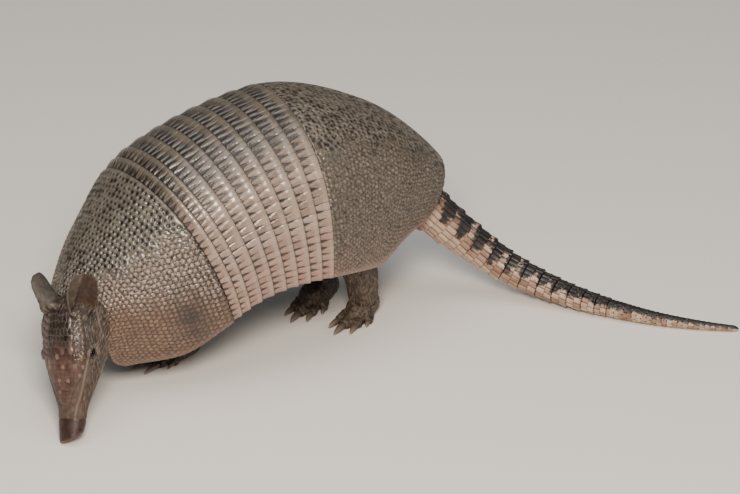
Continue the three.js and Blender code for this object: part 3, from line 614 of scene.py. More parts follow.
fine = smooth_line(TAIL_LINE, np.linspace(0, 1, TAIL_STEPS))
fine_length = np.concatenate([[0], np.cumsum(np.linalg.norm(np.diff(fine, axis=0), axis=1))])
TAIL_LENGTH = fine_length[-1]
even = np.linspace(0, TAIL_LENGTH, TAIL_STEPS)
by_length = np.stack([np.interp(even, fine_length, fine[:, i]) for i in range(3)], 1)
tail_axis = unit(np.gradient(by_length, axis=0))
tail_side = unit(np.cross([0, 0, 1.], tail_axis))
tail_top = np.cross(tail_axis, tail_side)


def tail_place(at, turn, out=0, scale=1):
    """A place on the tail: at along its length, turn round it from its left, over the top."""
    at, turn, out = np.broadcast_arrays(np.asarray(at, float), turn, out)
    spot, side, top = (np.stack([np.interp(at * TAIL_LENGTH, even, table[:, i]) for i in range(3)], -1)
                       for table in (by_length, tail_side, tail_top))
    radius = (tail_radius_at(at) * scale + out)[..., None]
    place = spot + side * radius * np.cos(turn)[..., None] + top * radius * np.sin(turn)[..., None]
    place[..., 2] = np.maximum(place[..., 2], .02)
    return place


def wrapped(ids):
    return grid_faces(np.concatenate([ids, ids[:, :1]], axis=1))


def tube(name, rows, turn, index, crest, stripe):
    """A closed tube through rings of places, its ends closed by a fan. Its marks are those of the
    tail's horn. Stripe moves the edge of the black down, or up if below 0."""
    tone = (np.sin(index * 12.9898 + 4.1) * 43758.5453) % 1
    top = .5 + .5 * (np.sin(turn) - .45 + .25 * (tone - .5) + stripe)
    count, around = rows.shape[:2]
    ids = np.arange(count * around).reshape(count, around)
    faces = wrapped(ids)
    points = np.concatenate([rows.reshape(-1, 3), rows[:1].mean(1), rows[-1:].mean(1)])
    for row, centre in ((0, count * around), (-1, count * around + 1)):
        faces += [(int(ids[row, k]), int(ids[row, (k + 1) % around]), centre) for k in range(around)]
    return new_piece(name, points, faces, {mark: np.append(values.ravel(), [0, 0]) for mark, values in
                                           (('crest', crest), ('tone', tone), ('top', top))})


def scale_rows(s, turn, rows, count, offset):
    """Which scale a place is in, and how far it is from the scale's edges, as shares."""
    row = np.minimum(np.floor(s * rows), rows - 1)
    across = turn / (2 * math.pi) * count + .5 * ((row + offset) % 2)
    scale = np.floor(across)
    return s * rows - row, across - scale, row * 101 + scale % count


ring_edges = [TAIL_START]
for ring in range(TAIL_RINGS):
    share = FIRST_RING_SHARE + (2 - 2 * FIRST_RING_SHARE) * ring / (TAIL_RINGS - 1)
    ring_edges.append(ring_edges[-1] + share * (RINGS_END - TAIL_START) / TAIL_RINGS)


def tail_grid(front, rear, rows, around):
    """Shares of the way back and turns round the tail, for each place of a tube, and places along it."""
    s, turn = np.meshgrid(np.linspace(0, 1, rows), np.linspace(0, 2 * math.pi, around, endpoint=False),
                          indexing='ij')
    return s, turn, front + (rear - front) * s


def tail_ring(number, front, rear):
    """One ring: a row of small scales and a row of long ones, flared over the next ring."""
    s, turn, at = tail_grid(front, rear, 40, 190)
    count = max(9, round(2 * math.pi * tail_radius_at((front + rear) / 2) / RING_SCALE_WIDTH))
    along, across, index = scale_rows(s, turn, 2, count, number)
    length = (rear - front) * TAIL_LENGTH / 2
    width = 2 * math.pi * tail_radius_at(at) / count
    edge = np.minimum(np.minimum(across, 1 - across) * width, np.minimum(along + .12, 1 - along) * length)
    crest = smooth(.05, .55, edge)
    flare = np.interp(s, [0, .7, 1], [1 - RING_FLARE, 1, 1 + RING_FLARE])
    tuck = .9 * (1 - smooth(0, .7, (1 - s) * 2 * length))
    ridge = (.35 * smooth(.3, 1, along) + .5 * (1 - (2 * across - 1) ** 2)) * crest
    # On the first rings the black runs down the front of each, and the pale up its rear
    stripe = .42 * (1 - smooth(5, 11, number)) * (np.cos(2 * math.pi * (s - .12)) + .1)
    return tube(f'tail_ring_scales_{number}', tail_place(at, turn, ridge - .5 * (1 - crest) - .2 - tuck, flare),
                turn, index, crest, stripe)


def tail_horn():
    """Tail horn, grown in thick overlapping scales and scuffed by the ground. It gives blocky
    satin scales, black along the top and cream at the sides, with brown dirt in the seams."""
    # Patches 8 mm across, scuffs .9 mm, and blots 4 mm that make the edge of the black ragged
    material, tree, mark, cloud, fleck, varied = grown(
        'keratin_horn_in_scales_scuffed', 'crest tone top', 120, 1100)
    blots = node(tree, NOISE, Vector=mark['place'], Scale=260, Detail=4, Roughness=.7)
    top = node(tree, RANGE, Value=node(tree, *PLUS, _0=mark['top'], _1=blots), From_Min=.96, From_Max=1.08)
    pale, black = (laid(tree, first, (varied, 1, second)) for first, second in
                   (('#c0a893', '#86644c'), ('#0f0e0f', '#292421')))
    colour = laid(tree, laid(tree, '#3a221a', (top, 1, '#0a0909')),
                  (mark['crest'], 1, laid(tree, pale, (top, 1, black))))
    satin = node(tree, RANGE, Value=cloud, From_Min=.3, From_Max=.7, To_Min=.36, To_Max=.6)
    return weathered(material, colour, fleck, (.8, 1.14), satin, (.35, .0002))


scale_horn = tail_horn()
ring_gap = PLATE_GAP / TAIL_LENGTH / 2
for number, (front, rear) in enumerate(zip(ring_edges, ring_edges[1:]), 1):
    ring = tail_ring(number, front + ring_gap, rear - ring_gap)
    fitted(ring, scale_horn, 'tail_scales', f'tail_ring_{number}')


def tail_tip():
    """The tip: scales in half-offset rows, each with a raised rear edge over the next row."""
    front = ring_edges[-1] + ring_gap
    s, turn, at = tail_grid(front, 1, 330, 110)
    along, across, index = scale_rows(s ** .9, turn, TIP_SCALE_ROWS, TIP_SCALES_ROUND, 0)
    radius = tail_radius_at(at)
    width = 2 * math.pi * radius / TIP_SCALES_ROUND
    length = (1 - front) * TAIL_LENGTH / TIP_SCALE_ROWS
    point = 1 - along - .35 * (2 * np.abs(across - .5)) ** 2
    crest = smooth(0, .4, np.minimum(np.minimum(across, 1 - across) * width + .15, (point + .1) * length))
    end = np.clip((1 - s) * (1 - front) * TAIL_LENGTH / 3, 0, 1) ** .5
    relief = (.3 * smooth(.2, .9, along) * crest - .5 * (1 - crest)) * np.clip(radius / 5, .4, 1)
    rows = tail_place(at, turn, relief, (.96 + .04 * smooth(0, .1, s)) * np.maximum(end, .3))
    return tube('tail_tip_scales', rows, turn, index, crest, 0)


fitted(tail_tip(), scale_horn, 'tail_scales', 'tail_tip')

# ---- Skin ----
# One hide from the snout to the toes: wrinkled bare skin on the face, leathery cupped ears,
# soft warty skin under the belly and horny scales on the legs. It runs unbroken under the
# plates, which grow from it, and closes round the eyes and the roots of the claws.
TRUNK_INSET, TRUNK_WRAP, TRUNK_ENDS, BELLY_SAG, HIDE_GRAIN = 3.5, .86, (.03, .975), 12, .85
# Neck and legs: x, y, z and radius from the front or the top on
NECK = [[-150, -10, 60, 26], [-170, -14, 57, 26], [-184, -22, 59, 25], [-196, -34, 60, 20]]
LEGS = [
    [[-94, -18, 84, 21], [-74, -14, 52, 17], [-74, -7, 28, 12], [-80, -5, 14, 9.5]],
    [[-92, 26, 84, 21], [-70, 30, 52, 17], [-70, 27, 28, 12], [-76, 24.5, 14, 9.5]],
    [[46, -32, 88, 23], [51, -30, 58, 16], [57, -27, 38, 12.8], [63, -20, 17, 11.5]],
    [[50, 24, 88, 23], [42, 25, 60, 17], [46, 25, 38, 13.5], [54, 23, 19, 11.5]]]
# Feet: name, side, heel and ball as x, y, z, radius, and the way they point in degrees
FEET = [
    ('fore', 'left', [-78, -4, 8.5, 8.6], [-93, -6, 6, 9.2], 10),
    ('fore', 'right', [-74, 24, 8.5, 8.6], [-89, 26, 6, 9.2], -6),
    ('hind', 'left', [69, -16, 9.5, 9.6], [59, -21, 6.5, 11], 26),
    ('hind', 'right', [57, 25, 9.5, 10], [40, 15, 8, 11.5], 30)]
# Toes: across and ahead of the ball's middle, fan in degrees, reach, radius and claw length
TOES = {
    'fore': [[-.6, -.1, -18, 8, 3.3, 9], [-.22, .4, -5, 12, 4.1, 18], [.24, .4, 7, 11.5, 4.1, 16],
             [.62, -.1, 20, 7, 3.2, 8]],
    'hind': [[-.84, -.3, -20, 6.5, 3.4, 6], [-.38, .3, -11, 11.5, 4.2, 10], [0, .4, 0, 14, 4.6, 13],
             [.38, .3, 11, 11, 4.2, 10], [.84, -.3, 20, 6.5, 3.4, 6]]}
# Ears: along and degrees on the head, length, the way the tip points and the way the cup faces
EARS = [(91, 31, 32, [.03, -.18, .96], [-.04, -.86, .37]), (95, -14, 29, [-.28, .68, .68], [-.56, .4, -.73])]
EAR_HALF_WIDTH, EAR_WALL, EAR_RIM, EAR_GRID = 11.7, 1.7, .55, (40, 45)
EYE_ALONG, EYE_ANGLE, EYE_RADIUS, EYE_SINK = 60, math.radians(63), 4.2, 2.2
clay = []


def add_clay(rings):
    """Adds a closed form through rings of places to what the hide is made over."""
    ids = np.arange(rings.shape[0] * rings.shape[1]).reshape(rings.shape[:2])
    clay.append((rings.reshape(-1, 3), wrapped(ids) + [ids[0].tolist(), ids[-1, ::-1].tolist()]))


def rings_round(spots, reach, side, top, around):
    turn = np.linspace(0, math.tau, around, endpoint=False)[None, :, None]
    return spots[:, None] + reach * (side * np.cos(turn) + top * np.sin(turn))


def add_limb(knots, count, around):
    """A round form along a smooth line through knots, each with its radius."""
    knots, at = np.array(knots, float), np.linspace(0, 1, count)
    spots = smooth_line(knots[:, :3], at)
    axis = unit(np.gradient(spots, axis=0))
    side = unit(np.cross([0, -1., 0], axis))
    radius = through(np.linspace(0, 1, len(knots)), knots[:, 3])(at)[:, None, None]
    add_clay(rings_round(spots, radius, side[:, None], np.cross(axis, side)[:, None], around))


def toe_ends(foot, toe):
    """The way a toe points, where it leaves its foot, where it ends, and its radius."""
    _, side_name, _, ball, toward = foot
    across, forward, fan, reach, radius, _ = toe
    side, heading = 1 if side_name == 'left' else -1, math.radians(toward)
    turn = heading + math.radians(fan) * side
    outward = np.array([math.sin(heading), -math.cos(heading), 0])
    way = np.array([-math.cos(turn), -math.sin(turn), 0])
    root = np.array(ball[:3]) + outward * side * across * ball[3] + way * forward * ball[3]
    root[2] = max(radius, ball[2] * .8)
    tip = root + way * reach
    tip[2] = radius * .86
    return way, root, tip, radius


def pinched(rings, shares):
    """Rings drawn in to a share of their size."""
    middle = rings.mean(1, keepdims=True)
    return middle + (rings - middle) * np.reshape(shares, (-1, 1, 1))


along = np.concatenate([[-1.5, -1.3, -.7], np.linspace(0, 104, 90), [105.2, 106]])[:, None]
rings = head_place(along, np.linspace(0, math.tau, 72, endpoint=False)[None], .1)
add_clay(pinched(rings, np.concatenate([[.25, .6, .88], np.ones(90), [.7, .2]])))
add_limb(NECK, 30, 60)
u = np.linspace(*TRUNK_ENDS, 70)[:, None]
over = shell_place(u, np.linspace(-TRUNK_WRAP, TRUNK_WRAP, 80)[None], -TRUNK_INSET + 0 * u)
share = np.linspace(0, 1, 34)[1:-1][None, :, None]
sag = BELLY_SAG * half_width_at(u)[..., None] / 77 * np.sin(math.pi * share) ** .8
under = over[:, -1:] * (1 - share) + over[:, :1] * share - body_axes(u)[2] * sag
hull = np.concatenate([over, under], axis=1)
add_clay(np.concatenate([pinched(hull[:1], .3), hull, pinched(hull[-1:], .3)]))
for leg in LEGS:
    add_limb(leg, 40, 48)
for foot in FEET:
    heel, ball = np.array(foot[2]), np.array(foot[3])
    axis = unit(ball[:3] - heel[:3])
    side = unit(np.cross([0, 0, 1.], axis))
    cap = np.radians(np.concatenate([np.linspace(-85, 0, 9), np.linspace(0, 85, 9)]))
    ends = np.where(np.arange(len(cap))[:, None] < 9, heel, ball)
    add_clay(rings_round(ends[:, :3] + axis * (ends[:, 3] * np.sin(cap))[:, None],
                         (ends[:, 3] * np.cos(cap))[:, None, None], side, np.cross(axis, side), 40))
    for toe in TOES[foot[0]]:
        way, root, tip, radius = toe_ends(foot, toe)
        # A knuckle, a waist behind it, and a cuff of skin round the root of the claw
        along_toe = np.array([0, .3, .55, .8, 1, 1 + .55 * radius / toe[3], 1 + .98 * radius / toe[3]])
        sizes = np.array([.9, .95, 1.04, .92, 1.02, .98, .74])
        spots = root + (tip - root) * np.minimum(along_toe, 1)[:, None]
        spots += way * (np.maximum(along_toe - 1, 0) * toe[3])[:, None]
        add_clay(rings_round(spots, (radius * sizes)[:, None, None], unit(np.cross([0, 0, 1.], way)),
                             np.array([0, 0, 1.]), 24))

ear_share_at = through([0, .25, .6, .85, 1], [.5, .82, 1, .9, .5])
ear_cup_at = through([0, .35, 1], np.radians([150, 78, 40]))
ear_frames = []
for along_head, degrees, length, tip, opens in EARS:
    root, rise = head_place(along_head, math.radians(degrees), -3), unit(np.array(tip))
    across = unit(np.cross(rise, opens))
    opening = unit(np.cross(across, rise))
    ear_frames.append((root, rise, across, opening))
    s, k = np.linspace(0, 1, EAR_GRID[0])[:, None, None], np.linspace(-1, 1, EAR_GRID[1])[None, :, None]
    cup = ear_cup_at(s)
    radius = EAR_HALF_WIDTH * ear_share_at(s) / np.sin(np.minimum(cup, math.pi / 2))
    thinned = 1 - .45 * smooth(.8, 1, np.maximum(np.abs(k), s))
    walls = []
    for out in (EAR_WALL, -.3):
        wall = EAR_RIM + (out - EAR_RIM) * thinned
        walls.append(root + rise * s * length + across * (radius + wall) * np.sin(k * cup)
                     + opening * ((radius + wall) * (1 - np.cos(k * cup)) - wall))
    clay.append((np.concatenate([wall.reshape(-1, 3) for wall in walls]), two_sided(EAR_GRID, EAR_GRID)))

starts = np.cumsum([0] + [len(points) for points, _ in clay]).tolist()
faces = [[start + corner for corner in face] for start, (_, part) in zip(starts, clay) for face in part]
skin = new_piece('hide', np.concatenate([points for points, _ in clay]), faces, {})


def only(piece, mode='OBJECT'):
    """Makes piece the only selected and active object, in the given mode."""
    if bpy.context.object and bpy.context.object.mode != 'OBJECT':
        bpy.ops.object.mode_set(mode='OBJECT')
    bpy.ops.object.select_all(action='DESELECT')
    piece.select_set(True)
    bpy.context.view_layer.objects.active = piece
    bpy.ops.object.mode_set(mode=mode)


def finish_with(piece, kind, **settings):
    """Adds a modifier with its settings and applies it."""
    only(piece)
    modifier = piece.modifiers.new(kind.lower(), kind)
    for key, value in settings.items():
        setattr(modifier, key, value)
    bpy.ops.object.modifier_apply(modifier=modifier.name)


def corner_values(piece, kind):
    """The places or the normals of a piece's corners, as its mesh holds them."""
    flat = np.empty(len(piece.data.vertices) * 3)
    piece.data.vertices.foreach_get(kind, flat)
    return flat.reshape(-1, 3)


def places_of(piece):
    only(piece)
    return corner_values(piece, 'co') * 1000 + FOOTPRINT_MIDDLE


def move_to(piece, points):
    piece.data.vertices.foreach_set('co', ((points - FOOTPRINT_MIDDLE) * .001).ravel())
    piece.data.update()


def select_where(piece, chosen):
    """In edit mode afterwards, with exactly the chosen corners selected."""
    only(piece, 'EDIT')
    bpy.ops.mesh.select_all(action='DESELECT')
    bpy.ops.mesh.select_mode(type='VERT')
    bpy.ops.object.mode_set(mode='OBJECT')
    piece.data.vertices.foreach_set('select', chosen)
    bpy.ops.object.mode_set(mode='EDIT')


finish_with(skin, 'REMESH', mode='VOXEL', voxel_size=HIDE_GRAIN * .001)
finish_with(skin, 'SMOOTH', factor=.5, iterations=4)

# The hide is thinned out most under the plates and on the belly and neck, less on the legs,
# and it is made finer round the eyes and the snout.
grid = shell_place(np.linspace(.035, .965, 150)[:, None], np.linspace(-.8, .8, 120)[None],
                   np.full((150, 120), -TRUNK_INSET))
covered = KDTree(150 * 120)
for i, spot in enumerate(grid.reshape(-1, 3)):
    covered.insert(spot, i)
covered.balance()
HEAD_MIDDLE, HEAD_REACH, LEG_TOP = head_place(60, 0, -20), 68, 58
for ratio, region in ((.06, 'under the plates'), (.34, 'legs'), (.06, 'belly and neck')):
    points = places_of(skin)
    hidden = np.array([covered.find(point)[2] < 2 for point in points])
    bare = ~hidden & (far_from(points, HEAD_MIDDLE) > HEAD_REACH)
    low = points[:, 2] < LEG_TOP
    select_where(skin, {'under the plates': hidden, 'legs': bare & low, 'belly and neck': bare & ~low}[region])
    bpy.ops.mesh.decimate(ratio=ratio)
EYES = [head_place(EYE_ALONG, side * EYE_ANGLE, -EYE_SINK) for side in (1, -1)]
for reach, snout in ((9.5, 10), (6.5, 0)):
    points = places_of(skin)
    near_eye = np.min([far_from(points, eye) for eye in EYES], axis=0) < reach
    select_where(skin, near_eye | (far_from(points, NOSE) < snout))
    bpy.ops.mesh.subdivide(number_cuts=1, smoothness=.4, quadcorner='INNERVERT')

# Where each place of the hide is on the head: along it, round it, and how far out
points, normals = places_of(skin), corner_values(skin, 'normal')
along, left, rise = ((points - NOSE) @ way for way in (HEAD_BACK, HEAD_LEFT, HEAD_CROWN))
height = np.where(rise > 0, crown_at(along), throat_at(along))
angle = np.arctan2(left / head_width_at(along), rise / height)
from_axis = np.hypot(left / head_width_at(along), rise / height)
ears, insides = [], []
for root, rise_way, across, opening in ear_frames:
    up, wide, deep = ((points - root) @ way for way in (rise_way, across, opening))
    ears.append(smooth(3.5, 8, up) * (np.abs(wide) < 15) * (np.abs(deep - 5) < 20) * (from_axis > 1.02))
    insides.append(ears[-1] * smooth(-.1, .5, normals @ opening))
ear, ear_right = np.maximum(*ears), ears[1]
# The front part of the left ear, up to the slit that parts it from the thin rear flap
up, wide = ((points - ear_frames[0][0]) @ way for way in ear_frames[0][1:3])
slit_at = wide + 2.5 - .12 * up
slit = ear * (1 - ear_right) * np.exp(-(slit_at / .9) ** 2) * (1 - smooth(17, 24, up))
ear_inside = np.maximum(*insides) * smooth(-.8, .8, slit_at)
on_head = (1 - smooth(98, 108, along)) * (from_axis < 1.5) * (along > -3) * (1 - ear)
nose = on_head * (1 - smooth(12.4, 13.4, along))


def grained(points, size, seed=0):
    """Smooth noise over the hide, about one swing per size in millimetres."""
    return np.array([noise.noise(Vector(p)) for p in (points / size + seed).tolist()])


def cells(points, size):
    """How far each place is from the edge of its scale, and a tone for the scale."""
    edge, tone = np.empty(len(points)), np.empty(len(points))
    for i, p in enumerate((points / size).tolist()):
        far, near = noise.voronoi(Vector(p))
        edge[i], tone[i] = (far[1] - far[0]) * size, near[0].x * 7.31 % 1
    return edge, tone


def groove(off, width):
    """1 along a line and 0 away from it, off and width in millimetres."""
    return np.exp(-(off / width) ** 2)


wave = 1.3 * np.sin(along / 9)
arc = angle * head_width_at(along)
fold = grained(np.stack([along / 4, arc / 1.3 + wave, 0 * along], 1), 1.7, 3)
cheek = on_head * smooth(.85, 1.25, np.abs(angle)) * smooth(14, 26, along)
# This mark is where painted shade darkens the hide: its folds, nostrils, lip and lid lines, and the seams of
# the leg scales.
crease = np.maximum(cheek * .45 * (1 - smooth(-.32, .02, fold)), slit)
push = cheek * (.45 * np.clip(fold, -.6, .6))
# Two long pale folds: from the ear down behind the eye, and along the edge of the plate
long_fold = np.zeros(len(points))
for stops, degrees in (((58, 68, 79, 97), (118, 100, 79.5, 71)), ((13, 20, 31, 52, 60), (36, 43, 53, 56, 57))):
    here = smooth(stops[0] - 3, stops[0] + 3, along) * (1 - smooth(stops[-1] - 3, stops[-1] + 3, along))
    off = (np.abs(angle) - through(stops, np.radians(degrees))(along)) * head_width_at(along)
    long_fold = np.maximum(long_fold, here * groove(off, .8))
long_fold *= on_head
edge, tone = cells(points, 2.6)
scaly = np.clip(1 - on_head - ear, 0, 1)
leg = scaly * (1 - smooth(50, 66, points[:, 2])) * (along > 0)
belly = np.clip(scaly - leg, 0, 1)
push += .6 * long_fold + (.32 * leg + .22 * ear) * (smooth(.05, .7, edge) - 1) - .5 * slit
wrinkle = grained(points * np.array([1, 1, 2.2]), 5, 9)
push += leg * .4 * wrinkle + belly * .5 * grained(points * np.array([2.4, .7, 1]), 6, 5)
for dent in (leg * (1 - smooth(.05, .45, edge)), belly * .5 * (1 - smooth(-.3, .1, wrinkle))):
    crease = np.maximum(crease, dent)

# The snout: a blunt wet pad behind a shallow groove, nostrils at its end, and the lips
push -= .45 * on_head * groove(along - 13.2, .8)
for side in (1, -1):
    hole = 1 - smooth(.9, 1.9, far_from(points, head_place(-.6, side * .95, -3.6)))
    push -= 1.9 * hole * on_head
    crease = np.maximum(crease, hole)
lips = np.radians(121) + wave / 13
lip_gap = np.exp(-((np.abs(angle) - lips) * head_width_at(along) / .55) ** 2)
lip_gap *= smooth(1.5, 5, along) * (1 - smooth(36, 44, along)) * on_head
push -= .75 * lip_gap
crease = np.maximum(crease, lip_gap)

# Eyelids: the hide rides over the eyeball and parts in an almond along the head
LID_RADIUS, LID_TILT, SOCKET_REACH = EYE_RADIUS + .5, math.radians(30), 9
LID_HALF_LENGTH, LID_HALF_WIDTH, LID_POINTED = 3.2, 2.05, .35


def eye_way(side):
    """The way an eye looks: straight out of the head."""
    return unit(head_place(EYE_ALONG, side * EYE_ANGLE) - NOSE - HEAD_BACK * EYE_ALONG)


for side, eye in zip((1, -1), EYES):
    out_way = eye_way(side)
    long_way = unit(-HEAD_BACK * math.cos(LID_TILT) + HEAD_CROWN * math.sin(LID_TILT))
    long_way = unit(long_way - out_way * (long_way @ out_way))
    wide_way = np.cross(out_way, long_way)
    offset = points - eye
    far = np.linalg.norm(offset, axis=1)
    radial = offset / np.maximum(far, .1)[:, None]
    # The lids meet in an almond, measured on the surface of the ball so that it keeps its size
    forward, wide = radial @ long_way * LID_RADIUS / LID_HALF_LENGTH, radial @ wide_way * LID_RADIUS
    almond = np.hypot(forward, wide / (LID_HALF_WIDTH - LID_POINTED * forward ** 2))
    facing = offset @ out_way > 0
    in_reach = far < SOCKET_REACH
    beside = np.hypot(offset @ long_way, offset @ wide_way)
    round_eye = 1 - smooth(4.6, 8.2, beside)
    over = LID_RADIUS + .25 * groove(almond - 1.25, .2)
    wanted = np.where(almond < 1, EYE_RADIUS - 1.4, np.maximum(far, over))
    share = np.where(almond < 1, 1, 1 - smooth(4.4, 7.4, beside)) * facing
    points += radial * ((wanted - far) * share)[:, None] * in_reach[:, None]
    ring_fold = .3 * round_eye * np.cos((beside - 5.2) * 3.2) * smooth(3.8, 4.8, beside) * facing
    shade = .5 * round_eye * smooth(3.8, 4.4, beside) * (ring_fold < -.12)
    crease = np.maximum(crease, facing * np.maximum(in_reach * groove(almond - 1, .2), shade))
    push = push * np.where(in_reach & facing, smooth(4.2, 6.5, beside), 1) + ring_fold

points = points + normals * push[:, None]
points[:, 2] = np.maximum(points[:, 2], .02)
move_to(skin, points)
nape = scaly * smooth(88, 98, along) * (1 - leg) * (points[:, 2] > 45)
temple = on_head * smooth(56, 66, along) * (1 - smooth(*np.radians([60, 72]), np.abs(angle)))
# The end of the nose pad is paler and redder: its own reddish tip with a painted highlight on it.
nose_end = nose * (1 - smooth(.2, 3.4, along + nose_slant(along, left, rise)))
set_marks(skin, {
    'face': on_head, 'temple': temple, 'nose': nose, 'nose_end': nose_end, 'ear': ear, 'ear_inside': ear_inside,
    'ear_right': ear_right, 'leg': leg, 'crease': np.clip(crease, 0, 1), 'tone': tone, 'nape': nape,
    'muzzle': on_head * (1 - smooth(30, 48, along)), 'fold': long_fold,
    'streaked': np.clip(cheek + nape + temple, 0, 1), 'head_along': along, 'head_arc': arc + wave})
skin.data.shade_smooth()


def bare_hide():
    """Living leather, dry, folded and dusty. Matt and finely pored, with painted shade darkening its
    creases, horny speckled scales on the legs and a faint moist sheen on the snout."""
    # Patches 8 mm across, pores .7 mm
    material, tree, mark, cloud, fleck, varied = grown(
        'bare_hide_dusty', 'face temple nose nose_end ear ear_inside ear_right leg crease tone muzzle '
        'nape fold streaked head_along head_arc', 130, 1500, 3, .6)
    colour = laid(tree, '#5c4c42', (varied, 1, '#75624f'))
    # The nose end's paler, redder colour is the pad's own reddish tip with a painted highlight on it.
    for region, dark, pale in (('leg', '#3b312a', '#66584b'), ('face', '#3c322a', '#574b41'),
                               ('temple', '#241d19', '#3a302a'), ('muzzle', '#41332a', '#56463b'),
                               ('nose', '#241713', '#3a2720'), ('nose_end', '#452b26', '#5e3f37'),
                               ('ear', '#3f352c', '#5a4e43'), ('ear_inside', '#2a1c16', '#3f2c22'),
                               ('ear_right', '#3a352f', '#4a443d'), ('nape', '#3a332b', '#564c42')):
        colour = laid(tree, colour, (mark[region], 1, laid(tree, dark, (varied, 1, pale))))
    # Fine ridges and dark spots about 1 mm wide and 4 mm long, along the cheeks and the nape
    along_head = node(tree, 'ShaderNodeCombineXYZ', X=node(tree, *TIMES, _0=mark['head_along'], _1=.3),
                      Y=mark['head_arc'])
    fine = node(tree, NOISE, Vector=along_head, Scale=.8, Detail=3, Roughness=.6)
    valley = node(tree, RANGE, Value=fine, From_Min=.5, From_Max=.4, To_Max=.8)
    ridge = node(tree, RANGE, Value=fine, From_Min=.52, From_Max=.64, To_Max=.7)
    # The creases are darkened with painted shade.
    colour = laid(tree, colour, (mark['streaked'], valley, '#1e1611'), (mark['streaked'], ridge, '#786a5f'),
                  (mark['fold'], .75, '#75675b'), (mark['crease'], .85, '#150e0b'))
    dry = node(tree, RANGE, Value=cloud, From_Min=.3, From_Max=.7, To_Min=.5, To_Max=.75)
    moist = node(tree, *MINUS, _0=dry, _1=node(tree, *TIMES, _0=mark['nose'], _1=.25))
    return weathered(material, colour, fleck, (.82, 1.14), moist, (.5, .0003), 1.45,
                     folds=node(tree, *TIMES, _0=fine, _1=mark['streaked']))


fitted(skin, bare_hide(), 'face_skin', 'head', 'nose_pad', 'ear_left', 'ear_right', 'neck', 'trunk',
       *(f'{kind}{part}_{side}' for kind in ('fore', 'hind') for part in ('leg', 'foot')
         for side in ('left', 'right')))

# ---- Eyes ----
# Small wet eyes, all dark, each turned on its own centre in its socket and held by the lids.
# Each is a ball with a swollen clear front, so that it takes one round glint.
CLEAR_FRONT, CLEAR_SWELL = .86, .00022     # where it starts, as a share of the radius, and metres


def wet_eye():
    """A wet clear front over a dark brown iris and a black pupil: one hard small highlight."""
    material, tree, shader = blank('living_eye_wet')
    ring = node(tree, MARK, {'attribute_name': 'iris'}, 'Fac')
    pupil = node(tree, RANGE, Value=ring, From_Min=.86, From_Max=.9)
    rim = node(tree, RANGE, Value=ring, From_Min=.62, From_Max=.7)
    colour = laid(tree, '#17100d', (rim, 1, laid(tree, '#0d0806', (pupil, 1, '#030202'))))
    tree.links.new(colour, shader.inputs['Base Color'])
    shader.inputs['Roughness'].default_value = .1
    shader.inputs['IOR'].default_value = 1.38
    return material


wet = wet_eye()
for side_name, side, eye in zip(('left', 'right'), (1, -1), EYES):
    only(skin)
    bpy.ops.object.select_all(action='DESELECT')
    bpy.ops.mesh.primitive_uv_sphere_add(segments=48, ring_count=32, radius=EYE_RADIUS * .001)
    eyeball = bpy.context.object
    eyeball.name = eyeball.data.name = f'eyeball_{side_name}'
    pole = corner_values(eyeball, 'co')[:, 2] / (EYE_RADIUS * .001)
    select_where(eyeball, pole > CLEAR_FRONT)
    bpy.ops.transform.translate(value=(0, 0, CLEAR_SWELL))
    only(eyeball)
    set_marks(eyeball, {'iris': pole})
    turned = Vector((0, 0, 1)).rotation_difference(Vector(eye_way(side).tolist())).to_matrix().to_4x4()
    eyeball.data.transform(Matrix.Translation(((eye - FOOTPRINT_MIDDLE) * .001).tolist()) @ turned)
    eyeball.data.shade_smooth()
    fitted(eyeball, wet, 'eyes', f'eye_{side_name}')

# ---- Claws ----
# Eighteen blunt horn claws, four on each forefoot and five on each hind foot, curved down to
# the ground from their roots in the toes. One is drawn out and copied to the size of each toe.
CLAW_WIDTH_SHARE, CLAW_DROP, CLAW_FLATNESS, ROOT_HEIGHT = .62, 1.09, .86, 1.387
bpy.ops.object.select_all(action='DESELECT')
bpy.ops.mesh.primitive_circle_add(vertices=16, radius=1, fill_type='NGON', location=(0, 0, 0),
                                  rotation=(0, math.pi / 2, 0))
first_claw = bpy.context.object
bpy.ops.object.transform_apply(location=True, rotation=True, scale=True)
only(first_claw, 'EDIT')
bpy.ops.mesh.select_all(action='SELECT')
size_before, share_before, drop_before = 1, 0, 0
for share in (.12, .24, .36, .48, .6, .71, .81, .89, .95, .985):
    drop, size = CLAW_DROP * share ** 2, max(.16, (1 - share ** 2.1) ** .72)
    onward, shrink = (share - share_before, 0, drop_before - drop), size / size_before
    bpy.ops.mesh.extrude_region_move(TRANSFORM_OT_translate={'value': onward})
    bpy.ops.transform.resize(value=(1, shrink, shrink), center_override=(share, 0, -drop))
    size_before, share_before, drop_before = size, share, drop
bpy.ops.mesh.select_all(action='SELECT')
bpy.ops.mesh.normals_make_consistent(inside=False)
finish_with(first_claw, 'SUBSURF', levels=1, render_levels=1)


def claw_horn():
    """Claw horn, grown in long fibres and scratched blunt by digging. It gives a dull
    grey-brown root, streaks along the claw, and a paler rubbed tip."""
    material, tree, shader = blank('claw_horn_scratched')
    place = node(tree, 'ShaderNodeTexCoord', out='Object')
    tip, streak = (node(tree, MARK, {'attribute_name': mark}, 'Fac') for mark in ('tip', 'fibre'))
    cloud = node(tree, NOISE, Vector=place, Scale=500, Detail=3, Roughness=.6)       # patches 2 mm across
    fleck = node(tree, NOISE, Vector=place, Scale=2500, Detail=2, Roughness=.7)      # scratches .4 mm apart
    dull = node(tree, RANGE, Value=cloud, From_Min=.3, From_Max=.7, To_Min=.35, To_Max=.6)
    colour = laid(tree, '#4a4037', (tip, 1, '#7d6f5e'), (cloud, streak, '#2b231d'))
    bump = node(tree, BUMP, Strength=.4, Distance=.0002, Height=fleck)
    for socket, value in (('Base Color', colour), ('Roughness', dull), ('Normal', bump)):
        tree.links.new(value, shader.inputs[socket])
    return material


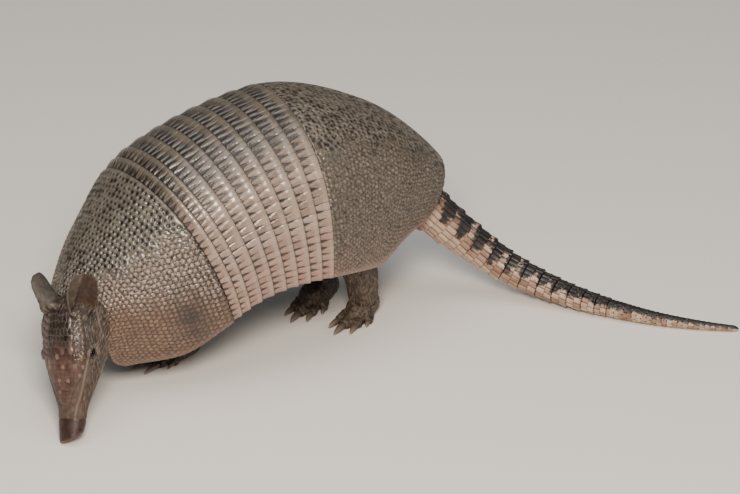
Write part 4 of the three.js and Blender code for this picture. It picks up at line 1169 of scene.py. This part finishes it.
scratched_horn = claw_horn()
for foot in FEET:
    for number, toe in enumerate(TOES[foot[0]], 1):
        way, _, tip, radius = toe_ends(foot, toe)
        claw = first_claw.copy()
        claw.data = first_claw.data.copy()
        claw.name = claw.data.name = f'{foot[0]}_claw_horn_{foot[1]}_{number}'
        bpy.context.scene.collection.objects.link(claw)
        reach, across, rise = corner_values(claw, 'co').T[..., None]
        round_it = np.arctan2(rise + CLAW_DROP * reach ** 2, across)
        fibre = (.5 + .5 * np.sin(round_it * 9)) * (reach < .9)
        set_marks(claw, {'tip': reach.ravel(), 'fibre': fibre.ravel()})
        thick = radius * CLAW_WIDTH_SHARE
        begin = tip + way * (radius * .9 + .1)
        spots = begin + way * (reach * (toe[5] + .2)) + np.cross([0, 0, 1.], way) * across * thick
        down = rise[:, 0] * thick * CLAW_FLATNESS * (begin[2] / thick / ROOT_HEIGHT)
        spots[:, 2] = np.maximum(begin[2] + down, .1)
        move_to(claw, spots)
        claw.data.shade_smooth()
        fitted(claw, scratched_horn, 'claws', f'{foot[0]}_claw_{foot[1]}_{number}')
bpy.data.objects.remove(first_claw)

# ---- Hairs ----
# Sparse pale bristles that grow between the scales of the belly, legs and cheeks, longest
# under the body. Each is a tapered shaft, rooted in the hide and laid back along it.
HAIR_COUNT, HAIR_RADIUS, HAIR_SAG, HAIR_PATCH = 1500, .12, .18, .003
hide_points, hide_normals = places_of(skin), corner_values(skin, 'normal')
under = belly * smooth(.15, .6, -hide_normals[:, 2]) * (far_from(hide_points, HEAD_MIDDLE) > HEAD_REACH)
chance = 2 * under + .5 * leg * smooth(8, 16, hide_points[:, 2]) + .4 * cheek
roots = rng.choice(len(hide_points), HAIR_COUNT, replace=False, p=chance / chance.sum())
hair_length = (10 * under + 5 * leg + 3.5 * cheek)[roots] * rng.uniform(.7, 1.2, HAIR_COUNT) + 1.5
lie = .45 * hide_normals
for where, way in ((under, [.8, 0, -.3]), (leg, [.2, 0, -.9]), (cheek, HEAD_BACK)):
    lie = lie + where[:, None] * way
lie = unit(unit(lie)[roots] + rng.normal(0, .12, (HAIR_COUNT, 3)))[:, None, None]
side = unit(np.cross(lie, [.1, .2, 1.]))
share = np.array([-.04, .3, .65, 1])[None, :, None, None]
thick = np.array([1, .85, .55, .1])[None, :, None, None] * HAIR_RADIUS
turn = (np.arange(3) * math.tau / 3)[None, None, :, None]
reach = hair_length[:, None, None, None] * share
spots = hide_points[roots][:, None, None] + lie * reach - np.array([0, 0, HAIR_SAG]) * reach * share
spots = spots + thick * (side * np.cos(turn) + np.cross(lie, side) * np.sin(turn))
spots[..., 2] = np.maximum(spots[..., 2], .1)
shaft = [(0, 2, 1), (9, 10, 11)] + [(r + k, r + (k + 1) % 3, r + 3 + (k + 1) % 3, r + 3 + k)
                                    for r in (0, 3, 6) for k in range(3)]
bristles = new_piece('bristles', spots.reshape(-1, 3), [[12 * hair + corner for corner in face]
                                                       for hair in range(HAIR_COUNT) for face in shaft], {})
# The hide unrolled in six tiles: the body and head round their own lengths, each leg round its height
x, y, z = hide_points.T
tile = np.where(on_head > .5, 1, np.where(leg > .5, 2 + 2 * (x < -20) + (y > 2), 0))
middle = np.array([hide_points[tile == number].mean(0) for number in range(6)])[tile].T
upright = np.arctan2(x - middle[0], y - middle[1])
round_way = np.select([tile == 1, tile == 0], [angle, np.arctan2(y - middle[1], z - middle[2])], upright)
along_way = np.select([tile == 1, tile == 0], [along / 110, x / 480 + .5], z / 110)
unrolled = np.stack([(tile % 3 + .05 + .9 * (round_way / math.tau + .5)) / 3,
                     (tile // 3 + .05 + .9 * np.clip(along_way, 0, 1)) / 2], 1)
patch = np.stack([np.tile(np.arange(3) / 2, 4), np.repeat(np.arange(4) / 3, 3)], 1) * HAIR_PATCH
corner_uv = (unrolled[roots][:, None] + patch).reshape(-1, 2)
corners = np.empty(len(bristles.data.loops), int)
bristles.data.loops.foreach_get('vertex_index', corners)
bristles.data.uv_layers.new(name='OFBake').data.foreach_set('uv', corner_uv[corners].ravel())
# Dry straw-coloured hair: dull, and a little paler toward the light than the hide under it
pale_hair, _, shader = blank('bristle_keratin_dry')
shader.inputs['Base Color'].default_value = linear('#9c8b74')
shader.inputs['Roughness'].default_value = .55
bristles.data.materials.append(pale_hair)
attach(bristles, 'root')

# ---- Studio ----
# A plain pale floor, soft light from above and the sides, and one lamp beside the lens that
# gives the armour its glints. The camera looks down along the animal's left shoulder.
WAIST, FLOOR_DROP = Vector((-.0324, .055, .1155)), .0004
CAMERA_AWAY, LENS, AIM_RIGHT, AIM_DOWN = 4, 260.8, .0689, .0446
TOWARD_CAMERA = Vector((-.449, -.778, .438))
IMAGE_RIGHT, IMAGE_UP = Vector((.866, -.5, 0)), Vector((.219, .38, .899))
bpy.ops.object.select_all(action='DESELECT')
bpy.ops.mesh.primitive_plane_add(size=14, location=(0, 0, -FLOOR_DROP))
floor = bpy.context.object
floor.name = 'studio_floor'
# Matt painted board: pale and even, so that it shows only the shadow
board, _, shader = blank('painted_board_matt')
shader.inputs['Base Color'].default_value = linear('#ebe8e2')
shader.inputs['Roughness'].default_value = .8
floor.data.materials.append(board)


def lamp(name, place, target, size, power, tint='#ffffff'):
    light = bpy.data.lights.new(name, 'AREA')
    light.size, light.energy, light.color = size, power, linear(tint)[:3]
    made = bpy.data.objects.new(name, light)
    bpy.context.scene.collection.objects.link(made)
    made.location = place
    made.rotation_euler = (Vector(target) - Vector(place)).to_track_quat('-Z', 'Y').to_euler()


lamp('sky_panel', (-.3, -.2, 1.7), (0, 0, .05), 1.4, 12)
lamp('lens_lamp', WAIST + TOWARD_CAMERA * 2 + Vector((0, 0, .45)), WAIST, .6, 62, '#fff1e2')
lamp('side_panel', (1.3, -1.2, .9), (0, 0, .05), .9, 4)
world = bpy.data.worlds.new('studio_air')
world.use_nodes = True
world.node_tree.nodes['Background'].inputs['Color'].default_value = linear('#dfe3e8')
world.node_tree.nodes['Background'].inputs['Strength'].default_value = .2
bpy.context.scene.world = world

camera = bpy.data.objects.new('camera', bpy.data.cameras.new('camera'))
bpy.context.scene.collection.objects.link(camera)
camera.data.sensor_width, camera.data.lens = 36, LENS
camera.location = WAIST + TOWARD_CAMERA * CAMERA_AWAY
aim = WAIST + IMAGE_RIGHT * AIM_RIGHT - IMAGE_UP * AIM_DOWN
camera.rotation_euler = (aim - camera.location).to_track_quat('-Z', 'Y').to_euler()
bpy.context.scene.camera = camera
